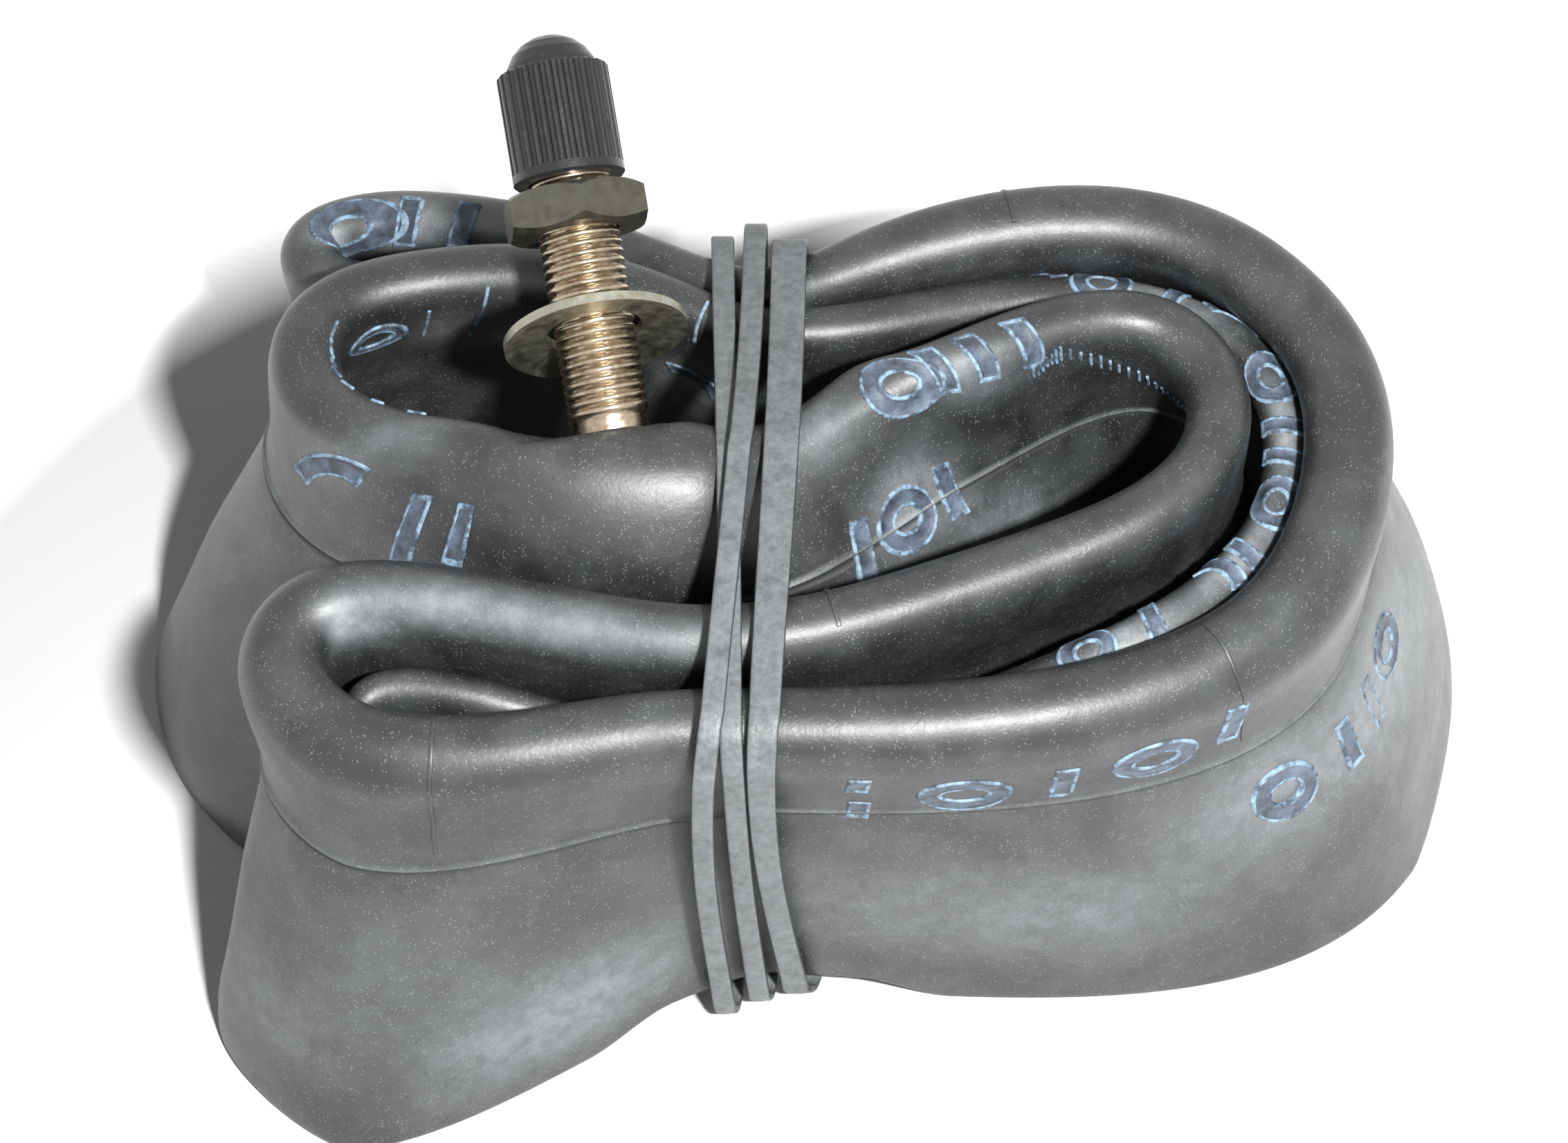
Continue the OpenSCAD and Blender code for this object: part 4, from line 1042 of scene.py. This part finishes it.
class BandLooks(bpy.types.PropertyGroup):
    band_colour: FloatVectorProperty(name="Band", description="Colour of the rubber bands", subtype="COLOR",
                                     size=3, min=0, max=1, default=(.17, .18, .185))
    left_width: FloatProperty(name="Double band", description="Width of the band that goes round twice",
                              subtype="DISTANCE", unit="LENGTH", min=.001, max=.004, default=.0023)
    right_width: FloatProperty(name="Single band", description="Width of the band that goes round once",
                               subtype="DISTANCE", unit="LENGTH", min=.001, max=.005, default=.0034)


class ValveLooks(bpy.types.PropertyGroup):
    thread_pitch: FloatProperty(name="Thread pitch", description="Distance between two turns of the stem's thread",
                                subtype="DISTANCE", unit="LENGTH", min=.0005, max=.002, default=.00095)
    thread_depth: FloatProperty(name="Thread depth", description="Depth of the stem's thread", subtype="DISTANCE",
                                unit="LENGTH", min=.0001, max=.0005, default=.0003)
    stem_colour: FloatVectorProperty(name="Stem", description="Colour of the nickelled stem", subtype="COLOR",
                                     size=3, min=0, max=1, default=(.52, .43, .32))
    cap_colour: FloatVectorProperty(name="Cap", description="Colour of the plastic cap", subtype="COLOR", size=3,
                                    min=0, max=1, default=(.018, .019, .021))
    nut_colour: FloatVectorProperty(name="Nut", description="Colour of the dull nut", subtype="COLOR", size=3,
                                    min=0, max=1, default=(.14, .137, .108))
    washer_colour: FloatVectorProperty(name="Washer", description="Colour of the plated washer",
                                       subtype="COLOR", size=3, min=0, max=1, default=(.44, .44, .37))


class StudioLooks(bpy.types.PropertyGroup):
    floor_colour: FloatVectorProperty(name="Floor", description="Colour of the floor", subtype="COLOR", size=3,
                                      min=0, max=1, default=(.95, .95, .95))
    key_power: FloatProperty(name="Key light", description="Power of the small light beside the camera",
                             unit="POWER", min=0, max=20, default=1.5)
    sky: FloatProperty(name="Room light", description="Strength of the even light from all sides",
                       min=0, max=5, default=.11)


class InnerTubeLooks(bpy.types.PropertyGroup):
    tube: PointerProperty(type=TubeLooks)
    marks: PointerProperty(type=MarkLooks)
    bands: PointerProperty(type=BandLooks)
    valve: PointerProperty(type=ValveLooks)
    studio: PointerProperty(type=StudioLooks)


class INNERTUBE_OT_skin(bpy.types.Operator):
    """Builds the tube's moulded skin with its seam, ripples and talc"""
    bl_idname = "inner_tube.skin"
    bl_label = "Tube Skin"

    def execute(self, context):
        points, faces, layers = build_skin()
        skin_piece = mesh_object("tube_skin", points, faces, moulded_rubber(), layers=layers)
        place_piece(skin_piece, "tube", "tube_rubber", "tube")
        return {"FINISHED"}


class INNERTUBE_OT_marks(bpy.types.Operator):
    """Adds the plain raised marks with chalk on their edges, and the splice lines"""
    bl_idname = "inner_tube.marks"
    bl_label = "Marks and Splices"

    def execute(self, context):
        marks = plain_marks().build("plain_marks", chalk_paint(), dusted_rubber())
        place_piece(marks, "tube", "tube_rubber")
        splices = splice_lines().build("splice_lines", moulded_rubber())
        place_piece(splices, "tube", "tube_rubber")
        return {"FINISHED"}


class INNERTUBE_OT_bands(bpy.types.Operator):
    """Stretches both rubber bands round the folded strands"""
    bl_idname = "inner_tube.bands"
    bl_label = "Rubber Bands"

    def execute(self, context):
        looks = chosen().bands
        # the double band: two rounds that swap sides where they cross
        f = np.arange(2*BAND_RINGS)/BAND_RINGS
        belt, lengths = belt_of(LEFT_PLACES)
        run = spline(LEFT_RUN, (f % 1)*len(LEFT_RUN))
        t = np.pi*(f + CROSSING)
        aside = TURN_SPACING/2*soft_step(np.clip(CROSSING_GAIN*np.cos(t), -1, 1))
        level = (BAND_THICK + BAND_GAP)*(1 + soft_step(np.clip(CROSSING_GAIN*np.sin(t), -1, 1)))/2
        width = looks.left_width/MM*run[:, 1]
        left = band_piece("band_double", belt, lengths, f, run[:, 0] + aside, level, width)
        place_piece(left, "tube", "band_rubber", "rubber_band_left")
        f = np.arange(BAND_RINGS)/BAND_RINGS
        belt, lengths = belt_of(RIGHT_PLACES)
        run = spline(RIGHT_RUN, f*len(RIGHT_RUN))
        width = looks.right_width/MM*run[:, 1]
        right = band_piece("band_single", belt, lengths, f, run[:, 0], 0*f, width)
        place_piece(right, "tube", "band_rubber", "rubber_band_right")
        return {"FINISHED"}


class INNERTUBE_OT_stem(bpy.types.Operator):
    """Cuts the stem's thread and moulds the rubber collar round its root"""
    bl_idname = "inner_tube.stem"
    bl_label = "Valve Stem"

    def execute(self, context):
        looks = chosen().valve
        nickel = polished_metal("worn_nickel", tuple(looks.stem_colour), .25, (.26, .19, .13))
        points, faces = turned(threaded_stem(looks.thread_pitch/MM, looks.thread_depth/MM))
        stem = mesh_object("threaded_stem", points, faces, nickel)
        face_outward(stem)
        stem.data.set_sharp_from_angle(angle=math.radians(38))
        place_piece(stem, "tube", "stem_nickel", "valve_stem")
        points, faces = turned(COLLAR)
        bare = np.zeros(len(points))
        foot = mesh_object("rubber_foot", points, faces, moulded_rubber(), layers={"chalk_and_sheen": bare, "groove": bare})
        face_outward(foot)
        place_piece(foot, "tube", "tube_rubber", "valve_foot")
        return {"FINISHED"}


class INNERTUBE_OT_fittings(bpy.types.Operator):
    """Finishes the cap, the rim nut, the washer and the valve core"""
    bl_idname = "inner_tube.fittings"
    bl_label = "Cap, Nut, Washer and Core"

    def execute(self, context):
        looks = chosen().valve
        repaint("valve_cap", cap_plastic())
        repaint("cap_seal", soft_rubber("cap_disc_rubber", (.05, .05, .052)))
        dull = polished_metal("dull_nut", tuple(looks.nut_colour), .42, (.10, .085, .07), 520)
        plated = polished_metal("plated_washer", tuple(looks.washer_colour), .42, (.30, .27, .17), 480)
        repaint("rim_nut", dull)
        repaint("rim_washer", plated)
        brass = polished_metal("turned_brass", (.78, .58, .28), .3, (.45, .30, .12), 1200)
        for node in ("core_plug", "core_barrel", "core_pin", "core_cup"):
            repaint(node, brass)
        repaint("core_spring", polished_metal("spring_wire", (.62, .62, .64), .25, (.35, .33, .30), 2000))
        repaint("core_gasket", soft_rubber("red_gasket_rubber", (.42, .05, .035)))
        repaint("core_seal", soft_rubber("valve_seat_rubber", (.04, .04, .042)))
        return {"FINISHED"}


class INNERTUBE_OT_studio(bpy.types.Operator):
    """Lays the white floor and sets the room light, the key light and the camera"""
    bl_idname = "inner_tube.studio"
    bl_label = "White Studio"

    def execute(self, context):
        looks = chosen().studio
        lay_floor(tuple(looks.floor_colour))
        light_room(looks.sky)
        softbox("key_softbox", KEY_AT, KEY_AIM, KEY_SIZE, looks.key_power)
        set_camera()
        return {"FINISHED"}


class VIEW3D_PT_inner_tube(bpy.types.Panel):
    """Lists the pieces of the tube and their sizes and colours"""
    bl_label = "Inner Tube"
    bl_space_type = "VIEW_3D"
    bl_region_type = "UI"
    bl_category = "Inner Tube"

    def draw(self, context):
        looks = chosen()
        for title, group, operators in PARTS:
            box = self.layout.box()
            box.label(text=title)
            settings = getattr(looks, group)
            for key in settings.bl_rna.properties.keys():
                if key not in ("rna_type", "name"):
                    box.prop(settings, key)
            for operator in operators:
                box.operator(operator.bl_idname)


PARTS = (
    ("Tube", "tube", (INNERTUBE_OT_skin,)),
    ("Marks", "marks", (INNERTUBE_OT_marks,)),
    ("Bands", "bands", (INNERTUBE_OT_bands,)),
    ("Valve", "valve", (INNERTUBE_OT_stem, INNERTUBE_OT_fittings)),
    ("Studio", "studio", (INNERTUBE_OT_studio,)),
)
GROUPS = (TubeLooks, MarkLooks, BandLooks, ValveLooks, StudioLooks, InnerTubeLooks)


def register():
    for group in GROUPS:
        bpy.utils.register_class(group)
    for part in PARTS:
        for operator in part[2]:
            bpy.utils.register_class(operator)
    bpy.utils.register_class(VIEW3D_PT_inner_tube)
    bpy.types.Scene.inner_tube = PointerProperty(type=InnerTubeLooks)


def unregister():
    del bpy.types.Scene.inner_tube
    bpy.utils.unregister_class(VIEW3D_PT_inner_tube)
    for part in PARTS:
        for operator in part[2]:
            bpy.utils.unregister_class(operator)
    for group in reversed(GROUPS):
        bpy.utils.unregister_class(group)


def main():
    register()
    bpy.ops.inner_tube.skin()
    bpy.ops.inner_tube.marks()
    bpy.ops.inner_tube.bands()
    bpy.ops.inner_tube.stem()
    bpy.ops.inner_tube.fittings()
    bpy.ops.inner_tube.studio()


if __name__ == "__main__":
    main()
